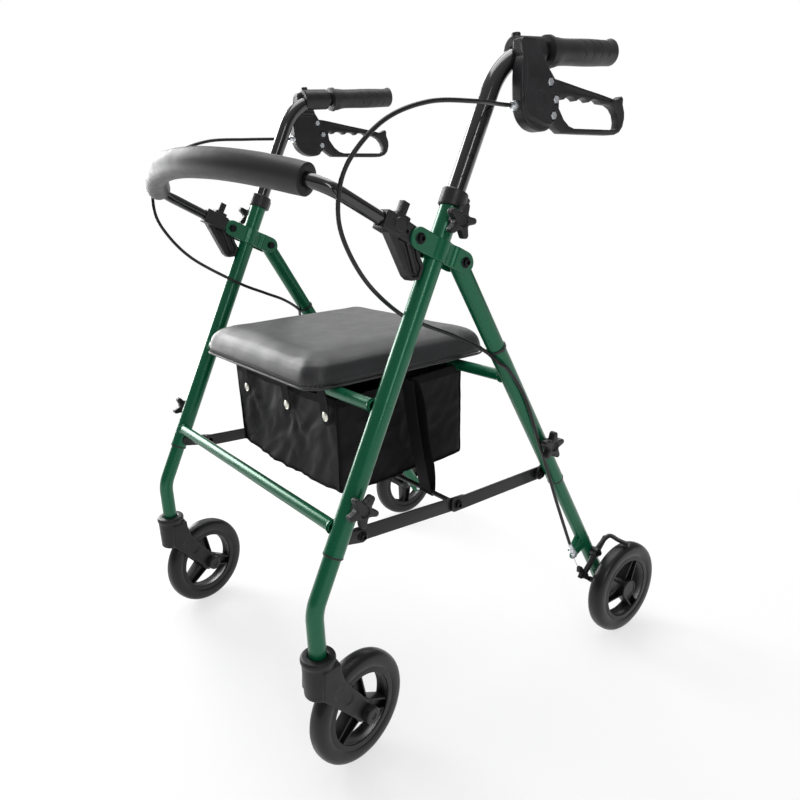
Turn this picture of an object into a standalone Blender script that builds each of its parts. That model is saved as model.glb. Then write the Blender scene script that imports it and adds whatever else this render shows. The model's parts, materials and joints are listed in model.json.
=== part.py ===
"""Four-wheeled rollator walker with a seat, a basket, a padded back bar and loop brakes.

Units are metres. +Z is up, -Y is the way the walker is pushed, +X is its left side.
The pieces are laid out from the point on the ground, in the centre plane, midway between
the caster stems and the rear axles. The last step moves them all back a little, so that
the origin is on the ground under the middle of the whole walker.
"""

import math

import bmesh
import bpy
from mathutils import Matrix, Vector

# ---------------------------------------------------------------- driving dimensions

SIDES = (("left", 1), ("right", -1))
TRACK = 0.248                  # centre plane to the plane of each side frame
CLEARANCE = 0.0003             # gap left between pieces that touch

TUBE_SIDES = 14                # facets round a frame tube
SMALL_SIDES = 10               # facets round a bolt, a hole or a thin rod
WHEEL_SIDES = 24               # facets round a wheel

WHEEL_RADIUS = 0.0762
TYRE_WIDTH = 0.026
TYRE_BORE = 0.056
RIM_BORE = 0.0485
HUB_RADIUS = 0.015
AXLE_RADIUS = 0.004
HALF_BASE = 0.276              # caster stems and rear axles are this far fore and aft

TUBE_LEAN = math.radians(26.43)
TUBE_FOOT = Vector((0, -0.2446, 0.3108))
TUBE_RADIUS = 0.0127
TUBE_BORE = 0.0114
TUBE_TOP_Z = 0.7095
COLLAR_BOTTOM_Z = 0.6985
COLLAR_TOP_Z = 0.7170
COLLAR_RADIUS = 0.0158
FRONT_LEG_RADIUS = 0.0111
FRONT_LEG_BORE = 0.0095
FRONT_LEG_TOP_Z = 0.40
FRONT_LEG_BOTTOM_Z = 0.1845
FRONT_LEG_BEND = 0.06

REAR_LEG_LEAN = math.radians(29.82)
REAR_TUBE_RADIUS = 0.012
REAR_TUBE_BORE = 0.0107
REAR_TUBE_LENGTH = 0.3924      # hinge to the lower end of the upper tube
REAR_LEG_RADIUS = 0.0104
REAR_LEG_BORE = 0.0089
REAR_LEG_START = 0.30          # hinge to the top of the lower leg
REAR_LEG_END = 0.618
AXLE_FOOT_START = 0.604
AXLE_FOOT_RADIUS = 0.0115
AXLE_FOOT_THICKNESS = 0.008
CABLE_LUG = Vector((0, 0.1950, 0.1520))
CABLE_LUG_START = 0.542
CABLE_LUG_RADIUS = 0.007
REAR_AXLE = Vector((0, HALF_BASE, 0.0769))
REAR_WHEEL_X = 0.292

CROSS_TUBE_RADIUS = 0.008
CROSS_TUBE_BORE = 0.0068
LOWER_CROSS = Vector((0, -0.2355, 0.3411))
SEAT_CROSS = Vector((0, -0.1685, 0.4773))
REAR_CROSS = Vector((0, 0.0475, 0.4724))

BRACKET_Z = 0.6514             # height of the hinge bracket on the main tube
BRACKET_REACH = 0.037          # main tube axis to each bracket bolt
BRACKET_HEIGHT = 0.026
HINGE_PIN_RADIUS = 0.0034
BACK_BOLT_RADIUS = 0.003
BOLT_HEAD_RADIUS = 0.0065
BOLT_HEAD_LENGTH = 0.004
SIDE_REACH = (0.22, 0.28)      # across the whole of a side frame, for drilling it
SLEEVE_LENGTH = 0.028
SLEEVE_RADIUS = 0.0155
EAR_THICKNESS = 0.0028
FRONT_EAR_GAP = 0.0095         # inner face of a front ear, from the side frame plane
REAR_EAR_GAP = 0.0125

LINK_FRONT_PIVOT = Vector((0, -0.1942, 0.3137))
LINK_MIDDLE_PIVOT = Vector((0, -0.0340, 0.3044))
LINK_REAR_PIVOT = Vector((0, 0.1290, 0.3036))
LINK_WIDTH = 0.0195
LINK_THICKNESS = 0.003
LINK_OVERHANG = 0.008          # front link, past the middle pivot
FRONT_LINK_X = 0.2292
REAR_LINK_X = 0.2330
RIVET_RADIUS = 0.003
ROD_RADIUS = 0.0035
LUG_RADIUS = 0.0085
FRONT_LUG_Z = 0.3240           # height on the main tube of the front link's lug
FRONT_LUG_X = (0.2312, 0.2372)
REAR_LUG_DISTANCE = 0.3720     # hinge to the rear link's lug
REAR_LUG_X = (0.2349, 0.2400)
STRAP_WIDTH = 0.025
STRAP_BOTTOM_X = 0.170
STRAP_TOP = Vector((0.168, -0.058, 0.478))

CASTER_TURN = {"left": math.radians(10), "right": math.radians(14)}    # both the same way
TRAIL = 0.058
FORK_HALF_WIDTH = 0.0215
FORK_SLOT_HALF = 0.0155
FORK_SLOT_RADIUS = 0.080
CROWN_BOTTOM_Z = 0.150
CROWN_TOP_Z = 0.188
STEM_RADIUS = 0.0088
STEM_TOP_Z = 0.226
FRONT_HUB_REACH = (-0.0150, 0.0150)
REAR_HUB_REACH = (-0.0150, 0.0165)
KNOB_HEAD_MIDDLE = 0.0125      # tube's face to the middle of a knob's head
KNOB_HEAD_THICKNESS = 0.011
KNOB_LOBES = 5

HANDLE_RADIUS = 0.0111
HANDLE_BORE = 0.0099
HANDLE_TILT = math.radians(3.3)
HANDLE_CORNER = Vector((0, 0.0348, 0.873))
HANDLE_BEND = 0.09
HANDLE_FOOT_Z = 0.60
GRIP_START_Y = 0.1065
GRIP_END_Y = 0.2365
GRIP_FLANGE_RADIUS = 0.0175
GRIP_END_WALL = 0.0036
GRIP_RADIUS = 0.0155
GRIP_BORE = HANDLE_RADIUS + CLEARANCE

LEVER_X = 0.266
LEVER_THICKNESS = 0.012
LEVER_PIVOT = Vector((LEVER_X, 0.074, 0.8165))
HOUSING_INNER_X = 0.254
HOUSING_OUTER_X = 0.279
LEVER_PIN_RADIUS = 0.004
CLAMP_RADIUS = 0.0165
CLAMP_REACH = (0.026, 0.071)   # along the grip, from the handle's corner

BRAKE_PIVOT = Vector((0.2635, 0.2400, 0.1420))
BRAKE_STUD_RADIUS = 0.003
BRAKE_SHOE = Vector((0, 0.2700, 0.1600))
BRAKE_TAIL = Vector((0, 0.2130, 0.1095))
BRAKE_ARM_RADIUS = 0.0055
BRAKE_ARM_THICKNESS = 0.004
SHOE_RADIUS = 0.0038

BACK_SLOPE = math.radians(29.1)
BACK_TUBE_RADIUS = 0.008
BACK_TUBE_BORE = 0.0068
BACK_LEG_X = 0.2447
BACK_LEG_REACH = (0.022, 0.103)    # straight ends of the back bar, from its pivot
BACK_BEND = 0.04
BACK_TURN = math.radians(62.3)
BACK_PAD_RADIUS = 0.0182

SEAT_HALF_WIDTH = 0.166
SEAT_FRONT_Y = -0.213
SEAT_REAR_Y = 0.097
BOARD_BOTTOM_Z = 0.4858
BOARD_TOP_Z = 0.4906
PAD_TOP_Z = 0.5275
SEAT_CORNER = 0.034
CLIP_X = (-0.07, 0.07)
CLIP_HALF_WIDTH = 0.01
CLIP_GAP = 0.0004

BASKET_HALF_WIDTH = 0.150
BASKET_FRONT_Y = -0.167
BASKET_REAR_Y = 0.053
BASKET_BOTTOM_Z = 0.334
BASKET_TOP_Z = 0.462
BASKET_WALL = 0.002
BASKET_CORNER = 0.012

CABLE_RADIUS = 0.0025

X = Vector((1, 0, 0))
Z = Vector((0, 0, 1))
TUBE_DIR = Vector((0, math.sin(TUBE_LEAN), math.cos(TUBE_LEAN)))
TUBE_NORMAL = Vector((0, math.cos(TUBE_LEAN), -math.sin(TUBE_LEAN)))
REAR_LEG_DIR = Vector((0, math.sin(REAR_LEG_LEAN), -math.cos(REAR_LEG_LEAN)))
HANDLE_DIR = Vector((0, math.cos(HANDLE_TILT), math.sin(HANDLE_TILT)))
BACK_DIR = Vector((0, -math.cos(BACK_SLOPE), math.sin(BACK_SLOPE)))
BACK_UP = Vector((0, math.sin(BACK_SLOPE), math.cos(BACK_SLOPE)))


def on_tube(height):
    """Point on the main tube's axis at a height, in the centre plane."""
    return TUBE_FOOT + TUBE_DIR * ((height - TUBE_FOOT.z) / TUBE_DIR.z)


BRACKET_CENTRE = on_tube(BRACKET_Z)
BACK_PIVOT = BRACKET_CENTRE - TUBE_NORMAL * BRACKET_REACH
HINGE = BRACKET_CENTRE + TUBE_NORMAL * BRACKET_REACH


def on_rear_leg(distance):
    """Point on the rear leg's axis at a distance from the hinge, in the centre plane."""
    return HINGE + REAR_LEG_DIR * distance


# ---------------------------------------------------------------- scene and materials

def clear_scene():
    for obj in list(bpy.data.objects):
        bpy.data.objects.remove(obj, do_unlink=True)


def make_material(name, colour, roughness, metallic=0.0):
    material = bpy.data.materials.new(name)
    material.use_nodes = True
    shader = material.node_tree.nodes["Principled BSDF"]
    shader.inputs["Base Color"].default_value = (*colour, 1)
    shader.inputs["Roughness"].default_value = roughness
    shader.inputs["Metallic"].default_value = metallic
    return material


# ---------------------------------------------------------------- mesh building blocks

def to_object(bm, name="piece"):
    """Turn a bmesh into a linked object with its faces pointing out."""
    bmesh.ops.recalc_face_normals(bm, faces=bm.faces)
    mesh = bpy.data.meshes.new(name)
    bm.to_mesh(mesh)
    bm.free()
    obj = bpy.data.objects.new(name, mesh)
    bpy.context.scene.collection.objects.link(obj)
    return obj


def across(direction):
    """Two unit vectors at right angles to a direction and to each other."""
    helper = X if abs(direction.normalized().x) < 0.9 else Z
    first = direction.cross(helper).normalized()
    return first, direction.cross(first).normalized()


def skin(bm, rings):
    """Join consecutive rings of vertices with quads."""
    for near, far in zip(rings, rings[1:]):
        count = len(near)
        for i in range(count):
            j = (i + 1) % count
            bm.faces.new((near[i], near[j], far[j], far[i]))


def add_ring(bm, centre, first, second, radius, segments):
    angles = [2 * math.pi * i / segments for i in range(segments)]
    return [
        bm.verts.new(centre + (first * math.cos(a) + second * math.sin(a)) * radius)
        for a in angles
    ]


def pipe(points, radius, bore=0.0, segments=TUBE_SIDES):
    """A round tube, or a solid rod where bore is 0, along a list of points."""
    points = [Vector(p) for p in points]
    tangents = []
    for i in range(len(points)):
        before = points[max(i - 1, 0)]
        after = points[min(i + 1, len(points) - 1)]
        tangents.append((after - before).normalized())
    first, _ = across(tangents[0])
    bm = bmesh.new()
    outer = []
    inner = []
    for point, tangent in zip(points, tangents):
        first = (first - tangent * first.dot(tangent)).normalized()
        second = tangent.cross(first)
        outer.append(add_ring(bm, point, first, second, radius, segments))
        if bore:
            inner.append(add_ring(bm, point, first, second, bore, segments))
    skin(bm, outer)
    if bore:
        skin(bm, inner)
        skin(bm, [outer[0], inner[0]])
        skin(bm, [outer[-1], inner[-1]])
    else:
        bm.faces.new(outer[0])
        bm.faces.new(outer[-1])
    return to_object(bm)


def rod(start, end, radius, segments=TUBE_SIDES):
    return pipe([start, end], radius, 0.0, segments)


def turned(profile, origin, axis, segments=TUBE_SIDES):
    """A solid of revolution from a closed profile of (radius, distance along axis)."""
    axis = axis.normalized()
    first, second = across(axis)
    bm = bmesh.new()
    rings = []
    for radius, along in profile:
        centre = origin + axis * along
        if radius == 0:
            rings.append([bm.verts.new(centre)])
        else:
            rings.append(add_ring(bm, centre, first, second, radius, segments))
    closed = rings if profile[0][0] == 0 else rings + [rings[0]]
    for near, far in zip(closed, closed[1:]):
        if len(near) == 1 and len(far) == 1:
            continue
        if len(near) == 1 or len(far) == 1:
            tip = near[0] if len(near) == 1 else far[0]
            rim = far if len(near) == 1 else near
            for i in range(segments):
                bm.faces.new((tip, rim[i], rim[(i + 1) % segments]))
        else:
            skin(bm, [near, far])
    return to_object(bm)


def plate(outline, centre_x, thickness):
    """A flat plate in the YZ plane, from an outline of (y, z) points."""
    bm = bmesh.new()
    rings = [
        [bm.verts.new((x, y, z)) for y, z in outline]
        for x in (centre_x - thickness / 2, centre_x + thickness / 2)
    ]
    skin(bm, rings)
    bm.faces.new(rings[0])
    bm.faces.new(rings[1])
    return to_object(bm)


def block(low, high):
    """An upright box between two corners."""
    bm = bmesh.new()
    bmesh.ops.create_cube(bm, size=1)
    low = Vector(low)
    high = Vector(high)
    size = high - low
    bmesh.ops.transform(
        bm,
        matrix=Matrix.Translation((low + high) / 2) @ Matrix.Diagonal((*size, 1)),
        verts=bm.verts,
    )
    return to_object(bm)


def capsule(start, end, radius, steps=6):
    """Outline in (y, z) of a bar with round ends between two points."""
    along = (end - start).normalized()
    heading = math.atan2(along.z, along.y)
    outline = []
    for centre, turn in ((end, -math.pi / 2), (start, math.pi / 2)):
        for i in range(steps + 1):
            angle = heading + turn + math.pi * i / steps
            outline.append(
                (centre.y + radius * math.cos(angle), centre.z + radius * math.sin(angle))
            )
    return outline


def arc_path(corner, incoming, outgoing, radius, steps=8):
    """Points of a bend that rounds a corner between two directions."""
    angle = incoming.angle(outgoing)
    tangent = radius * math.tan(angle / 2)
    start = corner - incoming * tangent
    towards = (outgoing - incoming * outgoing.dot(incoming)).normalized()
    centre = start + towards * radius
    points = []
    for i in range(steps + 1):
        a = angle * i / steps
        points.append(centre - towards * radius * math.cos(a) + incoming * radius * math.sin(a))
    return points


def smooth_path(knots, per_span=5):
    """Catmull-Rom curve through a list of points."""
    knots = [Vector(k) for k in knots]
    ends = [knots[0] * 2 - knots[1]] + knots + [knots[-1] * 2 - knots[-2]]
    path = []
    for a, b, c, d in zip(ends, ends[1:], ends[2:], ends[3:]):
        for i in range(per_span):
            t = i / per_span
            path.append(
                0.5 * (2 * b + (c - a) * t + (2 * a - 5 * b + 4 * c - d) * t ** 2
                       + (3 * b - a - 3 * c + d) * t ** 3)
            )
    path.append(knots[-1])
    return path


def boolean(obj, tool, operation):
    """Apply a Boolean with a tool object, then remove the tool."""
    modifier = obj.modifiers.new("boolean", "BOOLEAN")
    modifier.operation = operation
    modifier.solver = "EXACT"
    modifier.object = tool
    depsgraph = bpy.context.evaluated_depsgraph_get()
    mesh = bpy.data.meshes.new_from_object(obj.evaluated_get(depsgraph))
    obj.modifiers.clear()
    obj.data = mesh
    bpy.data.objects.remove(tool, do_unlink=True)
    return obj


def join(obj, *others):
    for other in others:
        boolean(obj, other, "UNION")
    return obj


def cut(obj, *tools):
    for tool in tools:
        boolean(obj, tool, "DIFFERENCE")
    return obj


def move(obj, matrix):
    """Transform the mesh itself."""
    obj.data.transform(matrix)
    if matrix.determinant() < 0:
        obj.data.flip_normals()
    return obj


def at_side(point, side):
    """Shift a centre-plane point into the plane of one side frame."""
    return Vector((side * TRACK, point.y, point.z))


def drill(centre, radius):
    """Tool for a hole along X through the left side frame."""
    near, far = SIDE_REACH
    return rod(Vector((near, centre.y, centre.z)), Vector((far, centre.y, centre.z)), radius, SMALL_SIDES)


def mirrored(obj, side):
    """Mirror a piece that was built on the left to the right, where side is -1."""
    if side < 0:
        move(obj, Matrix.Diagonal((-1, 1, 1, 1)))
    return obj


def finish(obj, name, material, origin=None):
    """Name a piece, give it its material and put its origin on its joint axis."""
    obj.name = name
    obj.data.name = name
    obj.data.materials.clear()
    obj.data.materials.append(material)
    if origin is not None:
        origin = Vector(origin)
        obj.data.transform(Matrix.Translation(-origin))
        obj.location = origin
    bm = bmesh.new()
    bm.from_mesh(obj.data)
    bmesh.ops.remove_doubles(bm, verts=bm.verts, dist=1e-6)
    bmesh.ops.dissolve_degenerate(bm, edges=bm.edges, dist=1e-6)
    bm.to_mesh(obj.data)
    bm.free()
    obj.data.shade_smooth()
    obj.data.set_sharp_from_angle(angle=math.radians(32))
    return obj


# ---------------------------------------------------------------- frames

def bracket_ears(reach, gap):
    """The pair of ears of the hinge bracket on one side of the main tube."""
    ears = []
    sign = math.copysign(1, reach)
    bolt = BRACKET_CENTRE + TUBE_NORMAL * reach
    radius = BRACKET_HEIGHT / 2
    heading = math.atan2(TUBE_NORMAL.z * sign, TUBE_NORMAL.y * sign)
    outline = []
    for i in range(7):
        angle = heading - math.pi / 2 + math.pi * i / 6
        outline.append((bolt.y + radius * math.cos(angle), bolt.z + radius * math.sin(angle)))
    root = BRACKET_CENTRE + TUBE_NORMAL * sign * 0.006
    for turn in (math.pi / 2, -math.pi / 2):
        angle = heading + turn
        outline.append((root.y + radius * math.cos(angle), root.z + radius * math.sin(angle)))
    for x in (-1, 1):
        ears.append(plate(outline, TRACK + x * (gap + EAR_THICKNESS / 2), EAR_THICKNESS))
    return ears


def link_lug(pivot, anchor, inner_x, outer_x):
    """A lug that carries a fold link's rivet beside a tube."""
    return plate(capsule(anchor, pivot, LUG_RADIUS), (inner_x + outer_x) / 2, outer_x - inner_x)


def build_front_frame(green):
    """Two hollow main tubes, two cross tubes, the hinge brackets and the link lugs."""
    half = []
    for _, side in SIDES:
        tube = rod(at_side(TUBE_FOOT, 1), at_side(on_tube(TUBE_TOP_Z), 1), TUBE_RADIUS)
        sleeve = rod(
            at_side(BRACKET_CENTRE - TUBE_DIR * SLEEVE_LENGTH / 2, 1),
            at_side(BRACKET_CENTRE + TUBE_DIR * SLEEVE_LENGTH / 2, 1),
            SLEEVE_RADIUS,
        )
        lug = link_lug(LINK_FRONT_PIVOT, on_tube(FRONT_LUG_Z), *FRONT_LUG_X)
        join(tube, sleeve, lug)
        join(tube, *bracket_ears(-BRACKET_REACH, FRONT_EAR_GAP))
        join(tube, *bracket_ears(BRACKET_REACH, REAR_EAR_GAP))
        for pivot, radius in (
            (BACK_PIVOT, BACK_BOLT_RADIUS),
            (HINGE, HINGE_PIN_RADIUS),
            (LINK_FRONT_PIVOT, RIVET_RADIUS),
        ):
            cut(tube, drill(pivot, radius + CLEARANCE))
        half.append(mirrored(tube, side))
    frame = half[0]
    for centre in (LOWER_CROSS, SEAT_CROSS):
        reach = X * (TRACK - 0.006)
        join(frame, rod(centre - reach, centre + reach, CROSS_TUBE_RADIUS))
    join(frame, half[1])
    for _, side in SIDES:
        low = at_side(TUBE_FOOT - TUBE_DIR * 0.01, side)
        high = at_side(on_tube(TUBE_TOP_Z + 0.01), side)
        cut(frame, rod(low, high, TUBE_BORE))
    for centre in (LOWER_CROSS, SEAT_CROSS):
        cut(frame, rod(centre - X * TRACK, centre + X * TRACK, CROSS_TUBE_BORE))
    finish(frame, "front_frame", green)


def build_front_legs(green):
    """Lower front legs: they slide into the main tubes and bend down to the casters."""
    for name, side in SIDES:
        bend_height = TUBE_FOOT.z + (-HALF_BASE - TUBE_FOOT.y) * TUBE_DIR.z / TUBE_DIR.y
        corner = at_side(on_tube(bend_height), side)
        points = [at_side(on_tube(FRONT_LEG_TOP_Z), side)]
        points += arc_path(corner, -TUBE_DIR, -Z, FRONT_LEG_BEND, 4)
        points.append(Vector((corner.x, corner.y, FRONT_LEG_BOTTOM_Z)))
        leg = pipe(points, FRONT_LEG_RADIUS, FRONT_LEG_BORE)
        finish(leg, f"front_leg_{name}", green)


def build_rear_frame(green):
    """Two upper rear legs joined by a cross tube, with the lugs of the rear links."""
    half = []
    for _, side in SIDES:
        top = at_side(on_rear_leg(-0.009), 1)
        bottom = at_side(on_rear_leg(REAR_TUBE_LENGTH), 1)
        leg = rod(top, bottom, REAR_TUBE_RADIUS)
        join(leg, link_lug(LINK_REAR_PIVOT, on_rear_leg(REAR_LUG_DISTANCE), *REAR_LUG_X))
        cut(leg, drill(HINGE, HINGE_PIN_RADIUS + CLEARANCE))
        cut(leg, drill(LINK_REAR_PIVOT, RIVET_RADIUS + CLEARANCE))
        half.append(mirrored(leg, side))
    frame = half[0]
    reach = X * (TRACK - 0.006)
    join(frame, rod(REAR_CROSS - reach, REAR_CROSS + reach, CROSS_TUBE_RADIUS), half[1])
    for _, side in SIDES:
        high = at_side(on_rear_leg(-0.02), side)
        low = at_side(on_rear_leg(REAR_TUBE_LENGTH + 0.01), side)
        cut(frame, rod(high, low, REAR_TUBE_BORE))
    cut(frame, rod(REAR_CROSS - X * TRACK, REAR_CROSS + X * TRACK, CROSS_TUBE_BORE))
    finish(frame, "rear_frame", green, HINGE)


def build_rear_legs(green):
    """Lower rear legs, with a flat foot for the axle and a lug for the brake cable."""
    for name, side in SIDES:
        leg = pipe(
            [at_side(on_rear_leg(REAR_LEG_START), 1), at_side(on_rear_leg(REAR_LEG_END), 1)],
            REAR_LEG_RADIUS,
            REAR_LEG_BORE,
        )
        outline = capsule(on_rear_leg(AXLE_FOOT_START), REAR_AXLE, AXLE_FOOT_RADIUS)
        foot = plate(outline, TRACK, AXLE_FOOT_THICKNESS)
        outline = capsule(on_rear_leg(CABLE_LUG_START), CABLE_LUG, CABLE_LUG_RADIUS)
        lug = plate(outline, TRACK + 0.0065, 0.003)
        join(leg, foot, lug)
        cut(leg, drill(REAR_AXLE, AXLE_RADIUS + CLEARANCE))
        stud = BRAKE_PIVOT
        stud_end = stud + X * 0.0055
        join(leg, rod((TRACK, stud.y, stud.z), stud_end, BRAKE_STUD_RADIUS, SMALL_SIDES))
        finish(mirrored(leg, side), f"rear_leg_{name}", green, HINGE)


def build_collars(plastic):
    """Plastic collars that close the tops of the main tubes round the handle tubes."""
    for name, side in SIDES:
        top = (COLLAR_TOP_Z - TUBE_TOP_Z) / TUBE_DIR.z
        bottom = (COLLAR_BOTTOM_Z - TUBE_TOP_Z) / TUBE_DIR.z
        handle_bore = HANDLE_RADIUS + CLEARANCE
        profile = [
            (TUBE_RADIUS + CLEARANCE, bottom),
            (COLLAR_RADIUS, bottom),
            (COLLAR_RADIUS, top - 0.002),
            (COLLAR_RADIUS - 0.0013, top),
            (handle_bore, top),
            (handle_bore, CLEARANCE),
            (TUBE_RADIUS + CLEARANCE, CLEARANCE),
        ]
        collar = turned(profile, at_side(on_tube(TUBE_TOP_Z), side), TUBE_DIR)
        finish(collar, f"tube_collar_{name}", plastic)


def bolt(start, end, shank, head, head_length):
    """A bolt along X with a head at each end, turned in one piece."""
    length = (end - start).length
    profile = [
        (0, 0),
        (head, 0),
        (head, head_length),
        (shank, head_length),
        (shank, length - head_length),
        (head, length - head_length),
        (head, length),
        (0, length),
    ]
    return turned(profile, start, end - start, SMALL_SIDES)


def build_bolts(steel):
    """Hinge pins of the rear legs and pivot bolts of the back bar."""
    for name, side in SIDES:
        for label, pivot, gap, shank in (
            ("hinge_pin", HINGE, REAR_EAR_GAP, HINGE_PIN_RADIUS),
            ("backrest_bolt", BACK_PIVOT, FRONT_EAR_GAP, BACK_BOLT_RADIUS),
        ):
            reach = X * (gap + EAR_THICKNESS + CLEARANCE + BOLT_HEAD_LENGTH)
            centre = at_side(pivot, side)
            piece = bolt(centre - reach, centre + reach, shank, BOLT_HEAD_RADIUS, BOLT_HEAD_LENGTH)
            finish(piece, f"{label}_{name}", steel, centre)


# ---------------------------------------------------------------- fold links

def build_links(black, steel):
    """Front and rear fold links, each with its rivet, and the rod between the front ones."""
    past_middle = (LINK_MIDDLE_PIVOT - LINK_FRONT_PIVOT).normalized() * LINK_OVERHANG
    for name, side in SIDES:
        outline = capsule(LINK_FRONT_PIVOT, LINK_MIDDLE_PIVOT + past_middle, LINK_WIDTH / 2)
        link = plate(outline, FRONT_LINK_X, LINK_THICKNESS)
        pivot = LINK_FRONT_PIVOT
        join(link, rod(pivot + X * FRONT_LINK_X, pivot + X * 0.2400, RIVET_RADIUS, SMALL_SIDES))
        join(link, rod(pivot + X * 0.2375, pivot + X * 0.2402, 0.0055, SMALL_SIDES))
        middle = LINK_MIDDLE_PIVOT
        hole = rod(middle + X * 0.22, middle + X * 0.24, ROD_RADIUS + CLEARANCE, SMALL_SIDES)
        cut(link, hole)
        finish(mirrored(link, side), f"front_link_{name}", black, LINK_FRONT_PIVOT)

        outline = capsule(LINK_MIDDLE_PIVOT, LINK_REAR_PIVOT, LINK_WIDTH / 2)
        link = plate(outline, REAR_LINK_X, LINK_THICKNESS)
        pivot = LINK_REAR_PIVOT
        join(link, rod(pivot + X * REAR_LINK_X, pivot + X * 0.2430, RIVET_RADIUS, SMALL_SIDES))
        join(link, rod(pivot + X * 0.2404, pivot + X * 0.2432, 0.0050, SMALL_SIDES))
        join(link, rod(middle + X * REAR_LINK_X, middle + X * 0.2385, 0.006, 6))
        finish(mirrored(link, side), f"rear_link_{name}", black, LINK_REAR_PIVOT)
    reach = X * (FRONT_LINK_X + LINK_THICKNESS / 2)
    cross = rod(LINK_MIDDLE_PIVOT - reach, LINK_MIDDLE_PIVOT + reach, ROD_RADIUS, SMALL_SIDES)
    finish(cross, "cross_rod", steel, LINK_FRONT_PIVOT)


def build_strap(fabric):
    """Webbing loop round the cross rod: pulling it up folds the walker."""
    middle = LINK_MIDDLE_PIVOT
    top = Vector((0, middle.y, STRAP_TOP.z - 0.008))
    strap = plate(capsule(middle, top, 0.0062), STRAP_BOTTOM_X, STRAP_WIDTH)
    cut(strap, plate(capsule(middle, top, 0.0040), STRAP_BOTTOM_X, STRAP_WIDTH * 2))
    for vertex in strap.data.vertices:
        share = (vertex.co.z - middle.z) / (STRAP_TOP.z - middle.z)
        vertex.co.x += (STRAP_TOP.x - STRAP_BOTTOM_X) * share
        vertex.co.y += (STRAP_TOP.y - middle.y) * max(share, 0.0)
    finish(strap, "fold_strap", fabric, LINK_FRONT_PIVOT)


# ---------------------------------------------------------------- wheels and forks

def tyre(centre, axis):
    """Solid tyre with a rounded tread."""
    half = TYRE_WIDTH / 2
    profile = [(TYRE_BORE, -half), (TYRE_BORE, half)]
    shoulder = WHEEL_RADIUS - half * 0.8
    for i in range(5):
        angle = math.pi * i / 4
        profile.append((shoulder + half * 0.8 * math.sin(angle), half * math.cos(angle)))
    return turned(profile, centre, axis, WHEEL_SIDES)


def wheel_hub(centre, axis, inner, outer, blind):
    """Rim, three spokes and boss; a blind hub hides the axle's end under its cap."""
    outer_rim = TYRE_BORE - CLEARANCE
    hub = turned(
        [(RIM_BORE, -0.010), (outer_rim, -0.010), (outer_rim, 0.010), (RIM_BORE, 0.010)],
        Vector(),
        X,
        WHEEL_SIDES,
    )
    boss = rod(X * inner, X * outer, HUB_RADIUS)
    spokes = []
    for i in range(3):
        spoke = block((-0.006, 0.004, -0.010), (0.006, RIM_BORE + 0.002, 0.010))
        spokes.append(move(spoke, Matrix.Rotation(math.radians(90 + 120 * i), 4, "X")))
    join(hub, *spokes, boss)
    bore_end = outer - 0.0015 if blind else outer + 0.01
    cut(hub, rod(X * (inner - 0.01), X * bore_end, AXLE_RADIUS + CLEARANCE, SMALL_SIDES))
    turn = X.rotation_difference(axis).to_matrix().to_4x4()
    return move(hub, Matrix.Translation(centre) @ turn)


def build_casters(plastic, rubber, steel, hub_plastic):
    """Swivelling forks with their wheels and axles."""
    for name, side in SIDES:
        turn = CASTER_TURN[name]
        stem = Vector((side * TRACK, -HALF_BASE, 0))
        place = Matrix.Translation(stem) @ Matrix.Rotation(turn, 4, "Z")
        axle = Vector((0, TRAIL, WHEEL_RADIUS))

        arms = [(-0.0190, 0.178), (-0.0205, 0.157), (-0.0130, 0.143), (0.0490, 0.0690)]
        for i in range(5):
            angle = math.radians(-130 + 170 * i / 4)
            arms.append((axle.y + 0.011 * math.cos(angle), axle.z + 0.011 * math.sin(angle)))
        arms += [(0.0225, 0.149), (0.0190, 0.178)]
        fork = plate(arms, 0, 2 * FORK_HALF_WIDTH)
        crown = turned(
            [(0, CROWN_BOTTOM_Z), (0.0195, CROWN_BOTTOM_Z), (0.0195, 0.179), (0.0215, 0.181),
             (0.0215, 0.187), (0.0205, CROWN_TOP_Z), (0.0135, CROWN_TOP_Z), (0.0135, 0.184),
             (STEM_RADIUS, 0.184), (STEM_RADIUS, STEM_TOP_Z), (0, STEM_TOP_Z)],
            Vector(),
            Z,
        )
        join(fork, crown)
        slot = X * FORK_SLOT_HALF
        cut(fork, rod(axle - slot, axle + slot, FORK_SLOT_RADIUS, WHEEL_SIDES))
        cut(fork, rod(axle - X * 0.03, axle + X * 0.03, AXLE_RADIUS + CLEARANCE, SMALL_SIDES))
        finish(move(fork, place), f"fork_{name}", plastic, stem)

        centre = place @ axle
        axis = place.to_3x3() @ X
        hub = wheel_hub(centre, axis, *FRONT_HUB_REACH, False)
        finish(hub, f"front_wheel_hub_{name}", hub_plastic, centre)
        finish(tyre(centre, axis), f"front_tyre_{name}", rubber, centre)
        reach = FORK_HALF_WIDTH + CLEARANCE + 0.005
        pin = bolt(centre - axis * reach, centre + axis * reach, AXLE_RADIUS, 0.0085, 0.005)
        finish(pin, f"front_axle_{name}", steel, centre)


def build_rear_wheels(rubber, steel, hub_plastic):
    for name, side in SIDES:
        centre = Vector((side * REAR_WHEEL_X, REAR_AXLE.y, REAR_AXLE.z))
        axis = X * side
        hub = wheel_hub(centre, axis, *REAR_HUB_REACH, True)
        finish(hub, f"rear_wheel_hub_{name}", hub_plastic, centre)
        finish(tyre(centre, axis), f"rear_tyre_{name}", rubber, centre)
        profile = [
            (0, 0.2385),
            (0.0075, 0.2385),
            (0.0075, 0.2437),
            (AXLE_RADIUS, 0.2437),
            (AXLE_RADIUS, 0.2523),
            (0.0065, 0.2523),
            (0.0065, 0.2767),
            (AXLE_RADIUS, 0.2767),
            (AXLE_RADIUS, 0.3065),
            (0, 0.3065),
        ]
        pin = turned(profile, REAR_AXLE.copy(), axis, SMALL_SIDES)
        finish(pin, f"rear_axle_{name}", steel, centre)


# ---------------------------------------------------------------- knobs

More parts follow.
